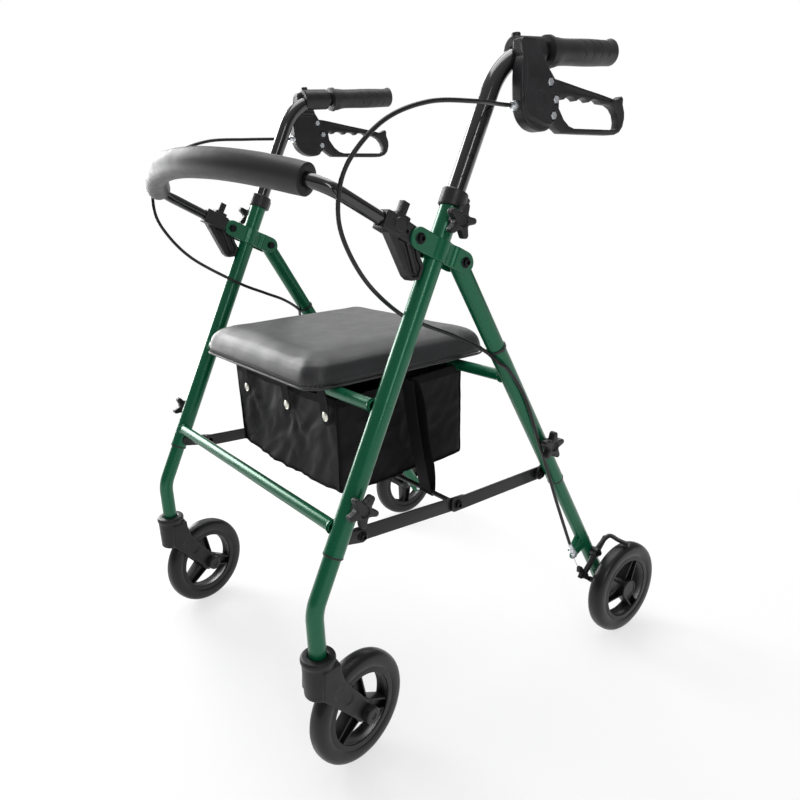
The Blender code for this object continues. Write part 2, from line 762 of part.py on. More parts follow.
def star_knob(surface, side):
    """Five-lobed clamping knob whose neck stands just off a tube's outer side."""
    outline = []
    count = KNOB_LOBES * 4
    for i in range(count):
        angle = 2 * math.pi * i / count
        radius = 0.0150 + 0.0055 * math.cos(KNOB_LOBES * angle)
        outline.append((radius * math.cos(angle), radius * math.sin(angle)))
    head = plate(outline, KNOB_HEAD_MIDDLE, KNOB_HEAD_THICKNESS)
    neck = rod(X * CLEARANCE, X * 0.010, 0.0085, SMALL_SIDES)
    knob = join(head, neck)
    move(knob, Matrix.Translation(Vector((surface.x, surface.y, surface.z))))
    return mirrored(knob, side)


def build_knobs(plastic):
    for name, side in SIDES:
        for label, point, radius in (
            ("handle_knob", on_tube(0.6845), TUBE_RADIUS),
            ("front_leg_knob", on_tube(0.3686), TUBE_RADIUS),
            ("rear_leg_knob", on_rear_leg(0.3138), REAR_TUBE_RADIUS),
        ):
            surface = at_side(point, 1) + X * radius
            knob = star_knob(surface, side)
            origin = Vector((surface.x * side, surface.y, surface.z))
            finish(knob, f"{label}_{name}", plastic, origin)


# ---------------------------------------------------------------- handles and brakes

def handle_path(side, foot_z=HANDLE_FOOT_Z, end_y=GRIP_END_Y - 0.004):
    """Axis of the handle tube: up the main tube, round the bend, back along the grip."""
    points = [at_side(on_tube(foot_z), side)]
    points += arc_path(at_side(HANDLE_CORNER, side), TUBE_DIR, HANDLE_DIR, HANDLE_BEND, 5)
    reach = (end_y - HANDLE_CORNER.y) / HANDLE_DIR.y
    points.append(at_side(HANDLE_CORNER + HANDLE_DIR * reach, side))
    return points


def build_handles(gloss, rubber):
    for name, side in SIDES:
        tube = pipe(handle_path(side), HANDLE_RADIUS, HANDLE_BORE)
        finish(tube, f"handle_tube_{name}", gloss)

        start = (GRIP_START_Y - HANDLE_CORNER.y) / HANDLE_DIR.y
        end = (GRIP_END_Y - HANDLE_CORNER.y) / HANDLE_DIR.y
        profile = [
            (GRIP_BORE, start),
            (GRIP_FLANGE_RADIUS, start),
            (GRIP_FLANGE_RADIUS, start + 0.006),
            (0.0150, start + 0.008),
            (GRIP_RADIUS, end - 0.03),
            (GRIP_RADIUS, end - 0.004),
            (0.0120, end),
            (0, end),
            (0, end - GRIP_END_WALL),
            (GRIP_BORE, end - GRIP_END_WALL),
        ]
        profile = profile[8:] + profile[:8]
        grip = turned(profile, at_side(HANDLE_CORNER, side), HANDLE_DIR)
        finish(grip, f"grip_{name}", rubber)


def build_brake_housings(plastic):
    """Brake bodies clamped on the handle tubes, slotted for the levers."""
    outline = [
        (0.040, 0.874), (0.032, 0.858), (0.0375, 0.831), (0.0380, 0.804), (0.0550, 0.786),
        (0.0745, 0.7816), (0.0900, 0.786), (0.1020, 0.798), (0.1010, 0.8347), (0.0924, 0.8435),
        (0.0850, 0.862), (0.0800, 0.873),
    ]
    thickness = HOUSING_OUTER_X - HOUSING_INNER_X
    middle_x = (HOUSING_OUTER_X + HOUSING_INNER_X) / 2
    for name, side in SIDES:
        body = plate(outline, middle_x, thickness)
        start, end = (at_side(HANDLE_CORNER + HANDLE_DIR * reach, 1) for reach in CLAMP_REACH)
        join(body, rod(start, end, CLAMP_RADIUS))
        cut(body, pipe(handle_path(1, 0.80, 0.15), HANDLE_RADIUS + CLEARANCE))
        slot_half = LEVER_THICKNESS / 2 + CLEARANCE
        cut(body, block((LEVER_X - slot_half, 0.0575, 0.7850), (LEVER_X + slot_half, 0.12, 0.858)))
        pivot = Vector((0, LEVER_PIVOT.y, LEVER_PIVOT.z))
        pin_end = HOUSING_OUTER_X - 0.0025
        join(body, rod(pivot + X * 0.2575, pivot + X * pin_end, LEVER_PIN_RADIUS, SMALL_SIDES))
        finish(mirrored(body, side), f"brake_housing_{name}", plastic)


def build_brake_levers(plastic):
    """Loop levers: a closed ring below the grip with finger dips along its top bar."""
    pivot = LEVER_PIVOT
    outer = [
        (0.0900, 0.8440), (0.0995, 0.8436), (0.153, 0.8351), (0.2220, 0.8257), (0.2290, 0.8300),
        (0.2380, 0.8290), (0.2390, 0.8210), (0.2427, 0.8044), (0.2395, 0.7910), (0.2290, 0.7825),
        (0.2139, 0.7803), (0.1140, 0.7816), (0.1040, 0.7880), (0.0900, 0.7980),
    ]
    for i in range(5):
        angle = math.radians(-80 - 45 * i)
        outer.append((pivot.y + 0.0135 * math.cos(angle), pivot.z + 0.0135 * math.sin(angle)))
    inner = [
        (0.1088, 0.8104), (0.1075, 0.8227), (0.1200, 0.8215), (0.1329, 0.8245), (0.1458, 0.8198),
        (0.1560, 0.8225), (0.1674, 0.8187), (0.1878, 0.8179), (0.2057, 0.8135), (0.2168, 0.7985),
        (0.2195, 0.7890), (0.1393, 0.7904), (0.1197, 0.7982),
    ]
    for name, side in SIDES:
        lever = plate(outer, LEVER_X, LEVER_THICKNESS)
        cut(lever, plate(inner, LEVER_X, LEVER_THICKNESS * 2))
        cut(lever, drill(pivot, LEVER_PIN_RADIUS + CLEARANCE))
        origin = Vector((side * pivot.x, pivot.y, pivot.z))
        finish(mirrored(lever, side), f"brake_lever_{name}", plastic, origin)


def build_brake_arms(black):
    """Bent arms on the rear legs whose upper ends press on the tyres."""
    for name, side in SIDES:
        x = BRAKE_PIVOT.x
        outline = capsule(BRAKE_PIVOT, BRAKE_SHOE, BRAKE_ARM_RADIUS)
        arm = plate(outline, x, BRAKE_ARM_THICKNESS)
        outline = capsule(BRAKE_PIVOT, BRAKE_TAIL, BRAKE_ARM_RADIUS)
        join(arm, plate(outline, x, BRAKE_ARM_THICKNESS))
        shoe_ends = (BRAKE_SHOE + X * (x - 0.001), BRAKE_SHOE + X * 0.304)
        join(arm, rod(*shoe_ends, SHOE_RADIUS, SMALL_SIDES))
        cut(arm, drill(BRAKE_PIVOT, BRAKE_STUD_RADIUS + CLEARANCE))
        origin = Vector((side * x, BRAKE_PIVOT.y, BRAKE_PIVOT.z))
        finish(mirrored(arm, side), f"brake_arm_{name}", black, origin)


def cable_knots():
    """Run of the left brake cable, from the brake body to the lug on the rear leg."""
    return [
        (0.2650, 0.0300, 0.8115), (0.2690, 0.0100, 0.8115), (0.2830, -0.0450, 0.8113),
        (0.2860, -0.1140, 0.8080), (0.2820, -0.1700, 0.7890), (0.2770, -0.2120, 0.7500),
        (0.2720, -0.2239, 0.7100), (0.2660, -0.2149, 0.6717), (0.2530, -0.1790, 0.6240),
        (0.2250, -0.1150, 0.5790), (0.2200, -0.0700, 0.5570), (0.2260, -0.0300, 0.5390),
        (0.2430, 0.0070, 0.5160), (0.2580, 0.0190, 0.5000), (0.2630, 0.0359, 0.4850),
        (0.2635, 0.0680, 0.4380), (0.2632, 0.0985, 0.3640), (0.2590, 0.1190, 0.3250),
        (0.2560, 0.1467, 0.2610), (0.2530, 0.1755, 0.1830),
    ]


def build_cables(black):
    for name, side in SIDES:
        cable = pipe(smooth_path(cable_knots(), 2), CABLE_RADIUS, 0, 6)
        finish(mirrored(cable, side), f"brake_cable_{name}", black)


# ---------------------------------------------------------------- backrest

def back_path():
    """Axis of the back bar, from its left bracket round the front to its right one."""
    leg_start, leg_end = BACK_LEG_REACH
    corner_x = BACK_LEG_X - BACK_BEND * (1 - math.cos(BACK_TURN))
    corner_v = leg_end + BACK_BEND * math.sin(BACK_TURN)
    bow_half = math.pi / 2 - BACK_TURN
    bow_radius = corner_x / math.sin(bow_half)
    flat = [(BACK_LEG_X, leg_start)]
    for i in range(5):
        angle = BACK_TURN * i / 4
        flat.append(
            (BACK_LEG_X - BACK_BEND * (1 - math.cos(angle)), leg_end + BACK_BEND * math.sin(angle))
        )
    for i in range(1, 5):
        angle = bow_half * (1 - i / 4)
        rise = bow_radius * (math.cos(angle) - math.cos(bow_half))
        flat.append((bow_radius * math.sin(angle), corner_v + rise))
    left = [BACK_PIVOT + X * x + BACK_DIR * v for x, v in flat]
    right = [Vector((-p.x, p.y, p.z)) for p in reversed(left[:-1])]
    return left + right


def build_backrest(gloss, foam, plastic):
    """Back bar, its foam pad, and the brackets and release buttons at its ends."""
    path = back_path()
    finish(pipe(path, BACK_TUBE_RADIUS, BACK_TUBE_BORE), "backrest_tube", gloss, BACK_PIVOT)
    padded = path[4:-4]
    pad = pipe(padded, BACK_PAD_RADIUS, BACK_TUBE_RADIUS + CLEARANCE)
    finish(pad, "backrest_pad", foam, BACK_PIVOT)

    def local(v, w):
        point = BACK_PIVOT + BACK_DIR * v + BACK_UP * w
        return (point.y, point.z)

    for name, side in SIDES:
        ear = [local(-0.0105 * math.cos(a), -0.0105 * math.sin(a))
               for a in [math.pi * (i / 6 - 0.5) for i in range(7)]]
        ear += [local(0.024, -0.0105), local(0.024, 0.0105)]
        bracket = plate(ear, TRACK, 0.0184)
        socket = plate(
            [local(0.014, -0.0115), local(0.014, 0.0115), local(0.050, 0.0115),
             local(0.050, -0.0115)],
            BACK_LEG_X,
            0.0228,
        )
        tower = plate(
            [local(0.018, 0.008), local(0.018, 0.016), local(0.036, 0.016), local(0.036, 0.008)],
            BACK_LEG_X,
            0.018,
        )
        stop = plate(
            [(-0.1520, 0.6800), (-0.1250, 0.6260), (-0.1190, 0.6205), (-0.1068, 0.6205),
             (-0.0995, 0.6350), (-0.1040, 0.6440), (-0.1075, 0.6600), (-0.1300, 0.6760)],
            TRACK,
            0.014,
        )
        boss_at = BACK_PIVOT + BACK_DIR * 0.030 + BACK_UP * 0.002
        boss = rod(boss_at + X * 0.250, boss_at + X * 0.2585, 0.0078, SMALL_SIDES)
        join(bracket, socket, tower, stop, boss)
        tube_start = BACK_PIVOT + BACK_DIR * (BACK_LEG_REACH[0] - 0.0005) + X * BACK_LEG_X
        cut(bracket, rod(tube_start, tube_start + BACK_DIR * 0.05, BACK_TUBE_RADIUS + CLEARANCE))
        cut(bracket, drill(BACK_PIVOT, BACK_BOLT_RADIUS + CLEARANCE))
        pocket = plate(
            [local(0.0222, 0.0095), local(0.0222, 0.02), local(0.0318, 0.02),
             local(0.0318, 0.0095)],
            BACK_LEG_X,
            0.0096,
        )
        cut(bracket, pocket)
        finish(mirrored(bracket, side), f"backrest_bracket_{name}", plastic, BACK_PIVOT)

        button = plate(
            [local(0.0225, 0.0130), local(0.0225, 0.0310), local(0.0315, 0.0310),
             local(0.0315, 0.0130)],
            BACK_LEG_X,
            0.009,
        )
        finish(mirrored(button, side), f"release_button_{name}", plastic, BACK_PIVOT)


# ---------------------------------------------------------------- seat and basket

def rounded_rectangle(half_x, low_y, high_y, corner, steps=4):
    """Outline in (x, y) of a rectangle with round corners."""
    outline = []
    centres = (
        (half_x - corner, high_y - corner, 0),
        (-half_x + corner, high_y - corner, 90),
        (-half_x + corner, low_y + corner, 180),
        (half_x - corner, low_y + corner, 270),
    )
    for cx, cy, start in centres:
        for i in range(steps + 1):
            angle = math.radians(start + 90 * i / steps)
            outline.append((cx + corner * math.cos(angle), cy + corner * math.sin(angle)))
    return outline


def stacked(levels):
    """A closed solid through outlines at rising heights."""
    bm = bmesh.new()
    rings = [[bm.verts.new((x, y, z)) for x, y in outline] for outline, z in levels]
    skin(bm, rings)
    bm.faces.new(rings[0])
    bm.faces.new(rings[-1])
    return to_object(bm)


def seat_outline(inset, corner):
    return rounded_rectangle(
        SEAT_HALF_WIDTH - inset, SEAT_FRONT_Y + inset, SEAT_REAR_Y - inset, corner - inset
    )


def build_seat(vinyl, board_plastic):
    """Padded seat on a board that is hinged on the front cross tube."""
    inset = 0.008
    board = stacked([(seat_outline(inset, 0.03), BOARD_BOTTOM_Z),
                     (seat_outline(inset, 0.03), BOARD_TOP_Z)])
    gap_radius = CROSS_TUBE_RADIUS + CLIP_GAP
    for x in CLIP_X:
        low_x, high_x = x - CLIP_HALF_WIDTH, x + CLIP_HALF_WIDTH
        clip = rod(SEAT_CROSS + X * low_x, SEAT_CROSS + X * high_x, 0.0115)
        rest = block(
            (low_x, REAR_CROSS.y - 0.008, REAR_CROSS.z + gap_radius),
            (high_x, REAR_CROSS.y + 0.008, BOARD_BOTTOM_Z + 0.001),
        )
        join(board, clip, rest)
    cut(board, rod(SEAT_CROSS - X * 0.12, SEAT_CROSS + X * 0.12, gap_radius))
    finish(board, "seat_board", board_plastic, SEAT_CROSS)

    bottom = BOARD_TOP_Z + CLEARANCE
    height = PAD_TOP_Z - bottom
    pad = stacked([
        (seat_outline(0.004, SEAT_CORNER), bottom),
        (seat_outline(0.0, SEAT_CORNER), bottom + height * 0.25),
        (seat_outline(0.002, SEAT_CORNER), bottom + height * 0.55),
        (seat_outline(0.009, SEAT_CORNER), bottom + height * 0.82),
        (seat_outline(0.024, 0.036), PAD_TOP_Z - 0.001),
        (seat_outline(0.034, 0.044), PAD_TOP_Z),
    ])
    finish(pad, "seat_pad", vinyl, SEAT_CROSS)


def build_basket(fabric):
    """Open-topped fabric basket under the seat."""
    outer = rounded_rectangle(
        BASKET_HALF_WIDTH, BASKET_FRONT_Y, BASKET_REAR_Y, BASKET_CORNER, 3
    )
    inner = rounded_rectangle(
        BASKET_HALF_WIDTH - BASKET_WALL,
        BASKET_FRONT_Y + BASKET_WALL,
        BASKET_REAR_Y - BASKET_WALL,
        BASKET_CORNER - BASKET_WALL,
        3,
    )
    basket = stacked([(outer, BASKET_BOTTOM_Z), (outer, BASKET_TOP_Z)])
    hollow = stacked([(inner, BASKET_BOTTOM_Z + BASKET_WALL), (inner, BASKET_TOP_Z + 0.01)])
    finish(cut(basket, hollow), "basket", fabric)


def centre_on_ground():
    """Move the whole walker along Y until the origin is under its middle."""
    bpy.context.view_layer.update()
    reach = [
        (obj.matrix_world @ vertex.co).y
        for obj in bpy.data.objects
        for vertex in obj.data.vertices
    ]
    middle = (min(reach) + max(reach)) / 2
    for obj in bpy.data.objects:
        obj.location.y -= middle


def main():
    clear_scene()
    green = make_material("green_paint", (0.01, 0.12, 0.06), 0.3, 0.4)
    black = make_material("black_steel", (0.012, 0.012, 0.013), 0.4, 0.3)
    gloss = make_material("gloss_black_tube", (0.008, 0.008, 0.009), 0.15, 0.2)
    steel = make_material("steel", (0.35, 0.35, 0.36), 0.3, 1.0)
    dark_bolt = make_material("black_bolt", (0.02, 0.02, 0.02), 0.35, 0.6)
    plastic = make_material("black_plastic", (0.015, 0.015, 0.016), 0.5)
    hub_plastic = make_material("wheel_plastic", (0.018, 0.018, 0.019), 0.55)
    tyre_rubber = make_material("tyre_rubber", (0.013, 0.013, 0.013), 0.6)
    grip_rubber = make_material("grip_rubber", (0.025, 0.024, 0.023), 0.7)
    vinyl = make_material("seat_vinyl", (0.02, 0.02, 0.022), 0.45)
    foam = make_material("foam", (0.06, 0.06, 0.065), 0.7)
    fabric = make_material("black_nylon", (0.01, 0.01, 0.011), 0.8)
    cable = make_material("cable_sheath", (0.01, 0.01, 0.01), 0.4)

    build_front_frame(green)
    build_front_legs(green)
    build_rear_frame(green)
    build_rear_legs(green)
    build_collars(plastic)
    build_bolts(dark_bolt)
    build_links(black, steel)
    build_strap(fabric)
    build_casters(plastic, tyre_rubber, dark_bolt, hub_plastic)
    build_rear_wheels(tyre_rubber, steel, hub_plastic)
    build_knobs(plastic)
    build_handles(gloss, grip_rubber)
    build_brake_housings(plastic)
    build_brake_levers(plastic)
    build_brake_arms(black)
    build_cables(cable)
    build_backrest(gloss, foam, plastic)
    build_seat(vinyl, plastic)
    build_basket(fabric)
    centre_on_ground()


main()
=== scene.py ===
"""Looks of a folding rollator walker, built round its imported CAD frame.

Metres, +Z up, -Y is the way the walker is pushed and +X is its left side. Pieces are
made for the left side and mirrored, apart from the casters, which are turned apart.
Lengths along Y are measured from the point midway between the caster stems and the rear
axles; placed() and piece() move points and finished meshes into the CAD frame.
"""
import json
import math

import bmesh
import bpy
from mathutils import Matrix, Vector, noise


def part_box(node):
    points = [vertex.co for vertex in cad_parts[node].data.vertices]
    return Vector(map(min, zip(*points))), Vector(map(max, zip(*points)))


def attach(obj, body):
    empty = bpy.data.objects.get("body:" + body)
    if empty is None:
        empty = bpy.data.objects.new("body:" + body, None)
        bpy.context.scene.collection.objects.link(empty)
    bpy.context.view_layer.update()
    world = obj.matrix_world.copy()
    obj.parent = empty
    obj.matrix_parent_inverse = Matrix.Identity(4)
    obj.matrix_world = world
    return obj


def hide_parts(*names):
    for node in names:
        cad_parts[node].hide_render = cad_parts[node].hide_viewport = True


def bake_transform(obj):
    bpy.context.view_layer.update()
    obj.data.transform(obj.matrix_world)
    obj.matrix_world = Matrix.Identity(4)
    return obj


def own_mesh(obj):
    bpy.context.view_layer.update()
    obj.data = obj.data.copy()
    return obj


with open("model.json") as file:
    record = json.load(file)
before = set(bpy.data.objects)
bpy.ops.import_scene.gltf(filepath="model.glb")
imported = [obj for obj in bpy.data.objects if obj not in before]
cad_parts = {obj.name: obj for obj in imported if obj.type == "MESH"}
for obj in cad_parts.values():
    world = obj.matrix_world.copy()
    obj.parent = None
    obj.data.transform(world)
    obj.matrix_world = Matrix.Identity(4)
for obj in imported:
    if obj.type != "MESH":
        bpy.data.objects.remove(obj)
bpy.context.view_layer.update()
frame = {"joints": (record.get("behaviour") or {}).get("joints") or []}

# ---------------------------------------------------------------- places from the frame

X = Vector((1, 0, 0))
Y = Vector((0, 1, 0))
Z = Vector((0, 0, 1))
SIDES = (("left", 1), ("right", -1))
JOINTS = {joint["name"]: joint for joint in frame["joints"]}


def raw_joint(name):
    return Vector(JOINTS[name]["pos_m"])


MIDWAY = Vector((0, (raw_joint("caster_swivel_left").y + raw_joint("rear_wheel_spin_left").y) / 2, 0))


def placed(point):
    """A point of this file, in the CAD frame."""
    return Vector(point) + MIDWAY


def joint_at(name):
    return raw_joint(name) - MIDWAY


def joint_axis(name):
    return Vector(JOINTS[name]["axis"]).normalized()


def middle(node):
    low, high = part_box(node)
    return (low + high) / 2 - MIDWAY


HINGE = joint_at("rear_fold")
BACK = joint_at("back_flip")
SEAT_TUBE = joint_at("seat_lift")
LINK_FRONT = joint_at("front_link_fold")
LINK_REAR = joint_at("rear_link_fold")
LINK_MIDDLE = middle("cross_rod")
TRACK = middle("front_leg_left").x
TUBE_DIR = joint_axis("handle_height_left")
TUBE_NORMAL = (HINGE - BACK).normalized()
BRACKET = (HINGE + BACK) / 2
WHEEL = joint_at("rear_wheel_spin_left")
REAR_DIR = (Vector((0, WHEEL.y, WHEEL.z)) - HINGE).normalized()
SHOE_PIVOT = joint_at("brake_shoe_left")
LEVER_PIVOT = joint_at("brake_squeeze_left")
WHEEL_RADIUS = (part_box("rear_tyre_left")[1].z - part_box("rear_tyre_left")[0].z) / 2

TUBE_RADIUS = 0.0127
REAR_TUBE_RADIUS = 0.012
REAR_LEG_RADIUS = 0.0104
HANDLE_RADIUS = 0.0111
CROSS_RADIUS = 0.008
WALL = 0.0013
GAP = 0.0003


def on_tube(height):
    """Point on the main tube's axis, in the centre plane."""
    return BRACKET + TUBE_DIR * ((height - BRACKET.z) / TUBE_DIR.z)


def on_rear(distance):
    """Point on the rear leg's axis at a distance from its hinge, in the centre plane."""
    return HINGE + REAR_DIR * distance


def left(point, offset=0.0):
    """A centre-plane point shifted into the plane of the left side frame."""
    return Vector((TRACK + offset, point.y, point.z))


# ---------------------------------------------------------------- material nodes

MIX_A, MIX_B, MIX_RESULT = 6, 7, 2      # colour sockets of a mix node
SHADER = "Principled BSDF"


def set_inputs(node, values):
    for socket, value in values.items():
        node.inputs[socket].default_value = value


def add_node(owner, kind, name, values=None, **settings):
    """A named shader node of a material or world, with its settings and input values."""
    node = owner.node_tree.nodes.new("ShaderNode" + kind)
    node.name = name
    for setting, value in settings.items():
        setattr(node, setting, value)
    set_inputs(node, values or {})
    return node


def wire(owner, source, output, target, socket):
    nodes = owner.node_tree.nodes
    owner.node_tree.links.new(nodes[source].outputs[output], nodes[target].inputs[socket])


def new_material(name, colour, roughness, metallic=0.0, coat=0.0, sheen=0.0, specular=0.35):
    """A Principled material whose graph has object coordinates ready for textures."""
    material = bpy.data.materials.new(name)
    material.use_nodes = True
    set_inputs(material.node_tree.nodes[SHADER], {
        "Base Color": (*colour, 1), "Roughness": roughness, "Metallic": metallic,
        "Coat Weight": coat, "Coat Roughness": 0.13, "Specular IOR Level": specular,
        "Sheen Weight": sheen, "Sheen Roughness": 0.5,
    })
    add_node(material, "TexCoord", "Place")
    return material


def add_noise(material, name, scale, detail):
    add_node(material, "TexNoise", name, {"Scale": scale, "Detail": detail, "Roughness": 0.55})
    wire(material, "Place", "Object", name, "Vector")


def add_range(material, name, source, output, low, high, from_low=0.3, from_high=0.7):
    """Map a texture's value from its own range to another."""
    add_node(material, "MapRange", name,
             {"From Min": from_low, "From Max": from_high, "To Min": low, "To Max": high})
    wire(material, source, output, name, "Value")


def mottle(material, colour, other, scale):
    """Let the base colour drift between two tones."""
    add_noise(material, "MottleNoise", scale, 4.0)
    add_range(material, "MottleRange", "MottleNoise", "Fac", 0.0, 1.0, 0.35, 0.65)
    add_node(material, "Mix", "MottleMix", data_type="RGBA",
             values={MIX_A: (*colour, 1), MIX_B: (*other, 1)})
    wire(material, "MottleRange", "Result", "MottleMix", 0)
    wire(material, "MottleMix", MIX_RESULT, SHADER, "Base Color")


def vary_roughness(material, scale, low, high):
    add_noise(material, "RoughNoise", scale, 4.0)
    add_range(material, "RoughRange", "RoughNoise", "Fac", low, high)
    wire(material, "RoughRange", "Result", SHADER, "Roughness")


def add_bump(material, source, output, strength, depth, name="Bump", after=None):
    """Bump from a texture, stacked after an earlier bump where one is named."""
    add_node(material, "Bump", name, {"Strength": strength, "Distance": depth})
    wire(material, source, output, name, "Height")
    if after:
        wire(material, after, "Normal", name, "Normal")
    wire(material, name, "Normal", SHADER, "Normal")


def noise_bump(material, texture, scale, detail, strength, depth, name="Bump", after=None):
    add_noise(material, texture, scale, detail)
    add_bump(material, texture, "Fac", strength, depth, name, after)


def times(colour, factor):
    return tuple(c * factor for c in colour)


def painted(name, colour, other, roughness, metallic, coat=1.0):
    """Metallic paint under clear lacquer, with a faint orange-peel surface."""
    material = new_material(name, colour, roughness, metallic, coat)
    mottle(material, colour, other, 900.0)
    vary_roughness(material, 35.0, roughness - 0.04, roughness + 0.05)
    noise_bump(material, "Peel", 160.0, 1.0, 0.006, 0.0005)
    return material


def moulded(name, colour, roughness, grain=1500.0, strength=0.12):
    """Moulded plastic or rubber with a fine spark-eroded grain and slight polish marks."""
    material = new_material(name, colour, roughness)
    mottle(material, colour, times(colour, 1.5), 45.0)
    vary_roughness(material, 60.0, roughness - 0.07, roughness + 0.08)
    noise_bump(material, "Grain", grain, 2.0, strength, 0.0004)
    return material


def metal(name, colour, roughness):
    material = new_material(name, colour, roughness, metallic=1.0)
    mottle(material, colour, times(colour, 0.8), 300.0)
    vary_roughness(material, 180.0, roughness - 0.06, roughness + 0.12)
    noise_bump(material, "Grain", 900.0, 3.0, 0.08, 0.0003)
    return material


def grained_vinyl(name, colour):
    """Leather-like embossing: small cells with creased edges over a soft unevenness."""
    material = new_material(name, colour, 0.42, sheen=0.04, specular=0.6)
    mottle(material, colour, times(colour, 1.25), 22.0)
    vary_roughness(material, 50.0, 0.44, 0.52)
    add_node(material, "TexVoronoi", "Cells", feature="DISTANCE_TO_EDGE", values={"Scale": 620.0})
    wire(material, "Place", "Object", "Cells", "Vector")
    add_range(material, "Crease", "Cells", "Distance", 0.0, 1.0, 0.0, 0.35)
    add_bump(material, "Crease", "Result", 0.22, 0.0003)
    noise_bump(material, "Swell", 40.0, 2.0, 0.06, 0.003, "SwellBump", "Bump")
    return material


def woven(name, colour, pitch, strength, sheen, roughness=0.8):
    """Plain weave from two crossed waves, with the odd thicker thread."""
    material = new_material(name, colour, roughness, sheen=sheen, specular=0.16)
    mottle(material, colour, times(colour, 1.8), 30.0)
    for label, direction in (("Warp", "DIAGONAL"), ("Weft", "Z")):
        add_node(material, "TexWave", label, bands_direction=direction,
                 values={"Scale": 0.31 / pitch, "Distortion": 0.4, "Detail Scale": 3.0})
        wire(material, "Place", "Object", label, "Vector")
    add_node(material, "Math", "Threads", operation="MAXIMUM")
    wire(material, "Warp", "Fac", "Threads", 0)
    wire(material, "Weft", "Fac", "Threads", 1)
    add_bump(material, "Threads", "Value", strength, pitch * 0.5)
    noise_bump(material, "Rumple", 40.0, 3.0, 0.25, 0.004, "RumpleBump", "Bump")
    return material


def foam_skin(name, colour, other, sheen):
    """Closed-cell foam tube: tiny cells and a dusty sheen."""
    material = new_material(name, colour, 0.5, sheen=sheen, specular=0.4)
    mottle(material, colour, other, 18.0)
    vary_roughness(material, 90.0, 0.44, 0.54)
    noise_bump(material, "Cells", 1400.0, 2.0, 0.08, 0.0004)
    noise_bump(material, "Dents", 40.0, 2.0, 0.04, 0.002, "DentBump", "Bump")
    return material


GREEN = painted("emerald_paint", (0.001, 0.088, 0.038), (0.002, 0.124, 0.054), 0.3, 0.3, 0.22)
GLOSS = painted("gloss_black_paint", (0.003, 0.003, 0.0036), (0.004, 0.004, 0.0046), 0.2, 0.0)
SATIN = painted("satin_black_paint", (0.006, 0.006, 0.007), (0.01, 0.01, 0.011), 0.42, 0.05, 0.15)
PLASTIC = moulded("black_plastic", (0.012, 0.0115, 0.013), 0.4)
FORK_PLASTIC = moulded("fork_plastic", (0.0055, 0.0055, 0.0062), 0.44, 1100.0, 0.16)
WHEEL_PLASTIC = moulded("wheel_plastic", (0.0045, 0.0045, 0.005), 0.4)
TYRE = moulded("tyre_rubber", (0.006, 0.006, 0.0066), 0.34, 800.0, 0.08)
GRIP = moulded("grip_rubber", (0.019, 0.018, 0.0195), 0.46, 1000.0, 0.2)
CABLE = moulded("cable_sheath", (0.004, 0.004, 0.0044), 0.34)
VINYL = grained_vinyl("seat_vinyl", (0.0105, 0.011, 0.0125))
FOAM = foam_skin("foam", (0.016, 0.0155, 0.0165), (0.021, 0.0205, 0.0215), 0.02)
FOAM_END = foam_skin("foam_end", (0.002, 0.002, 0.0022), (0.0035, 0.0035, 0.004), 0.0)
BLACK_CLOTH = (0.0028, 0.0024, 0.0032)
NYLON = woven("black_nylon", BLACK_CLOTH, 0.0007, 0.4, 0.01, 0.5)
WEBBING = woven("webbing", BLACK_CLOTH, 0.0016, 0.9, 0.02)
THREAD = woven("stitching", (0.01, 0.0095, 0.011), 0.0004, 0.4, 0.05)
ZINC = metal("zinc", (0.78, 0.81, 0.84), 0.34)
BOLT = metal("black_oxide", (0.022, 0.022, 0.024), 0.32)
SNAP = metal("nickel_snap", (0.8, 0.79, 0.7), 0.3)


# ---------------------------------------------------------------- shells

def across(direction):
    helper = X if abs(direction.normalized().x) < 0.9 else Z
    first = direction.cross(helper).normalized()
    return first, direction.cross(first).normalized()


def ring_at(bm, centre, first, second, radius, sides):
    ring = []
    for i in range(sides):
        angle = 2 * math.pi * i / sides
        ring.append(bm.verts.new(centre + (first * math.cos(angle) + second * math.sin(angle)) * radius))
    return ring


def skin(bm, rings):
    for near, far in zip(rings, rings[1:]):
        count = len(near)
        for i in range(count):
            j = (i + 1) % count
            bm.faces.new((near[i], near[j], far[j], far[i]))


def capped(bm, rings):
    """Skin a run of rings and close both of its ends."""
    skin(bm, rings)
    bm.faces.new(rings[0])
    bm.faces.new(rings[-1])
    return tidy(bm)


def tidy(bm):
    bmesh.ops.remove_doubles(bm, verts=bm.verts, dist=1e-6)
    bmesh.ops.recalc_face_normals(bm, faces=bm.faces)
    return bm


def tube(points, radius, bore=0.0, sides=40):
    """Round tube along points; radius may be a function of the share of the length."""
    points = [Vector(p) for p in points]
    lengths = [0.0]
    for a, b in zip(points, points[1:]):
        lengths.append(lengths[-1] + (b - a).length)
    bm = bmesh.new()
    outer = []
    inner = []
    first = None
    for i, point in enumerate(points):
        tangent = (points[min(i + 1, len(points) - 1)] - points[max(i - 1, 0)]).normalized()
        if first is None:
            first, _ = across(tangent)
        first = (first - tangent * first.dot(tangent)).normalized()
        second = tangent.cross(first)
        size = radius(lengths[i] / lengths[-1]) if callable(radius) else radius
        outer.append(ring_at(bm, point, first, second, size, sides))
        if bore:
            inner.append(ring_at(bm, point, first, second, bore, sides))
    skin(bm, outer)
    if bore:
        skin(bm, inner)
        skin(bm, [outer[0], inner[0]])
        skin(bm, [outer[-1], inner[-1]])
    else:
        bm.faces.new(outer[0])
        bm.faces.new(outer[-1])
    return tidy(bm)


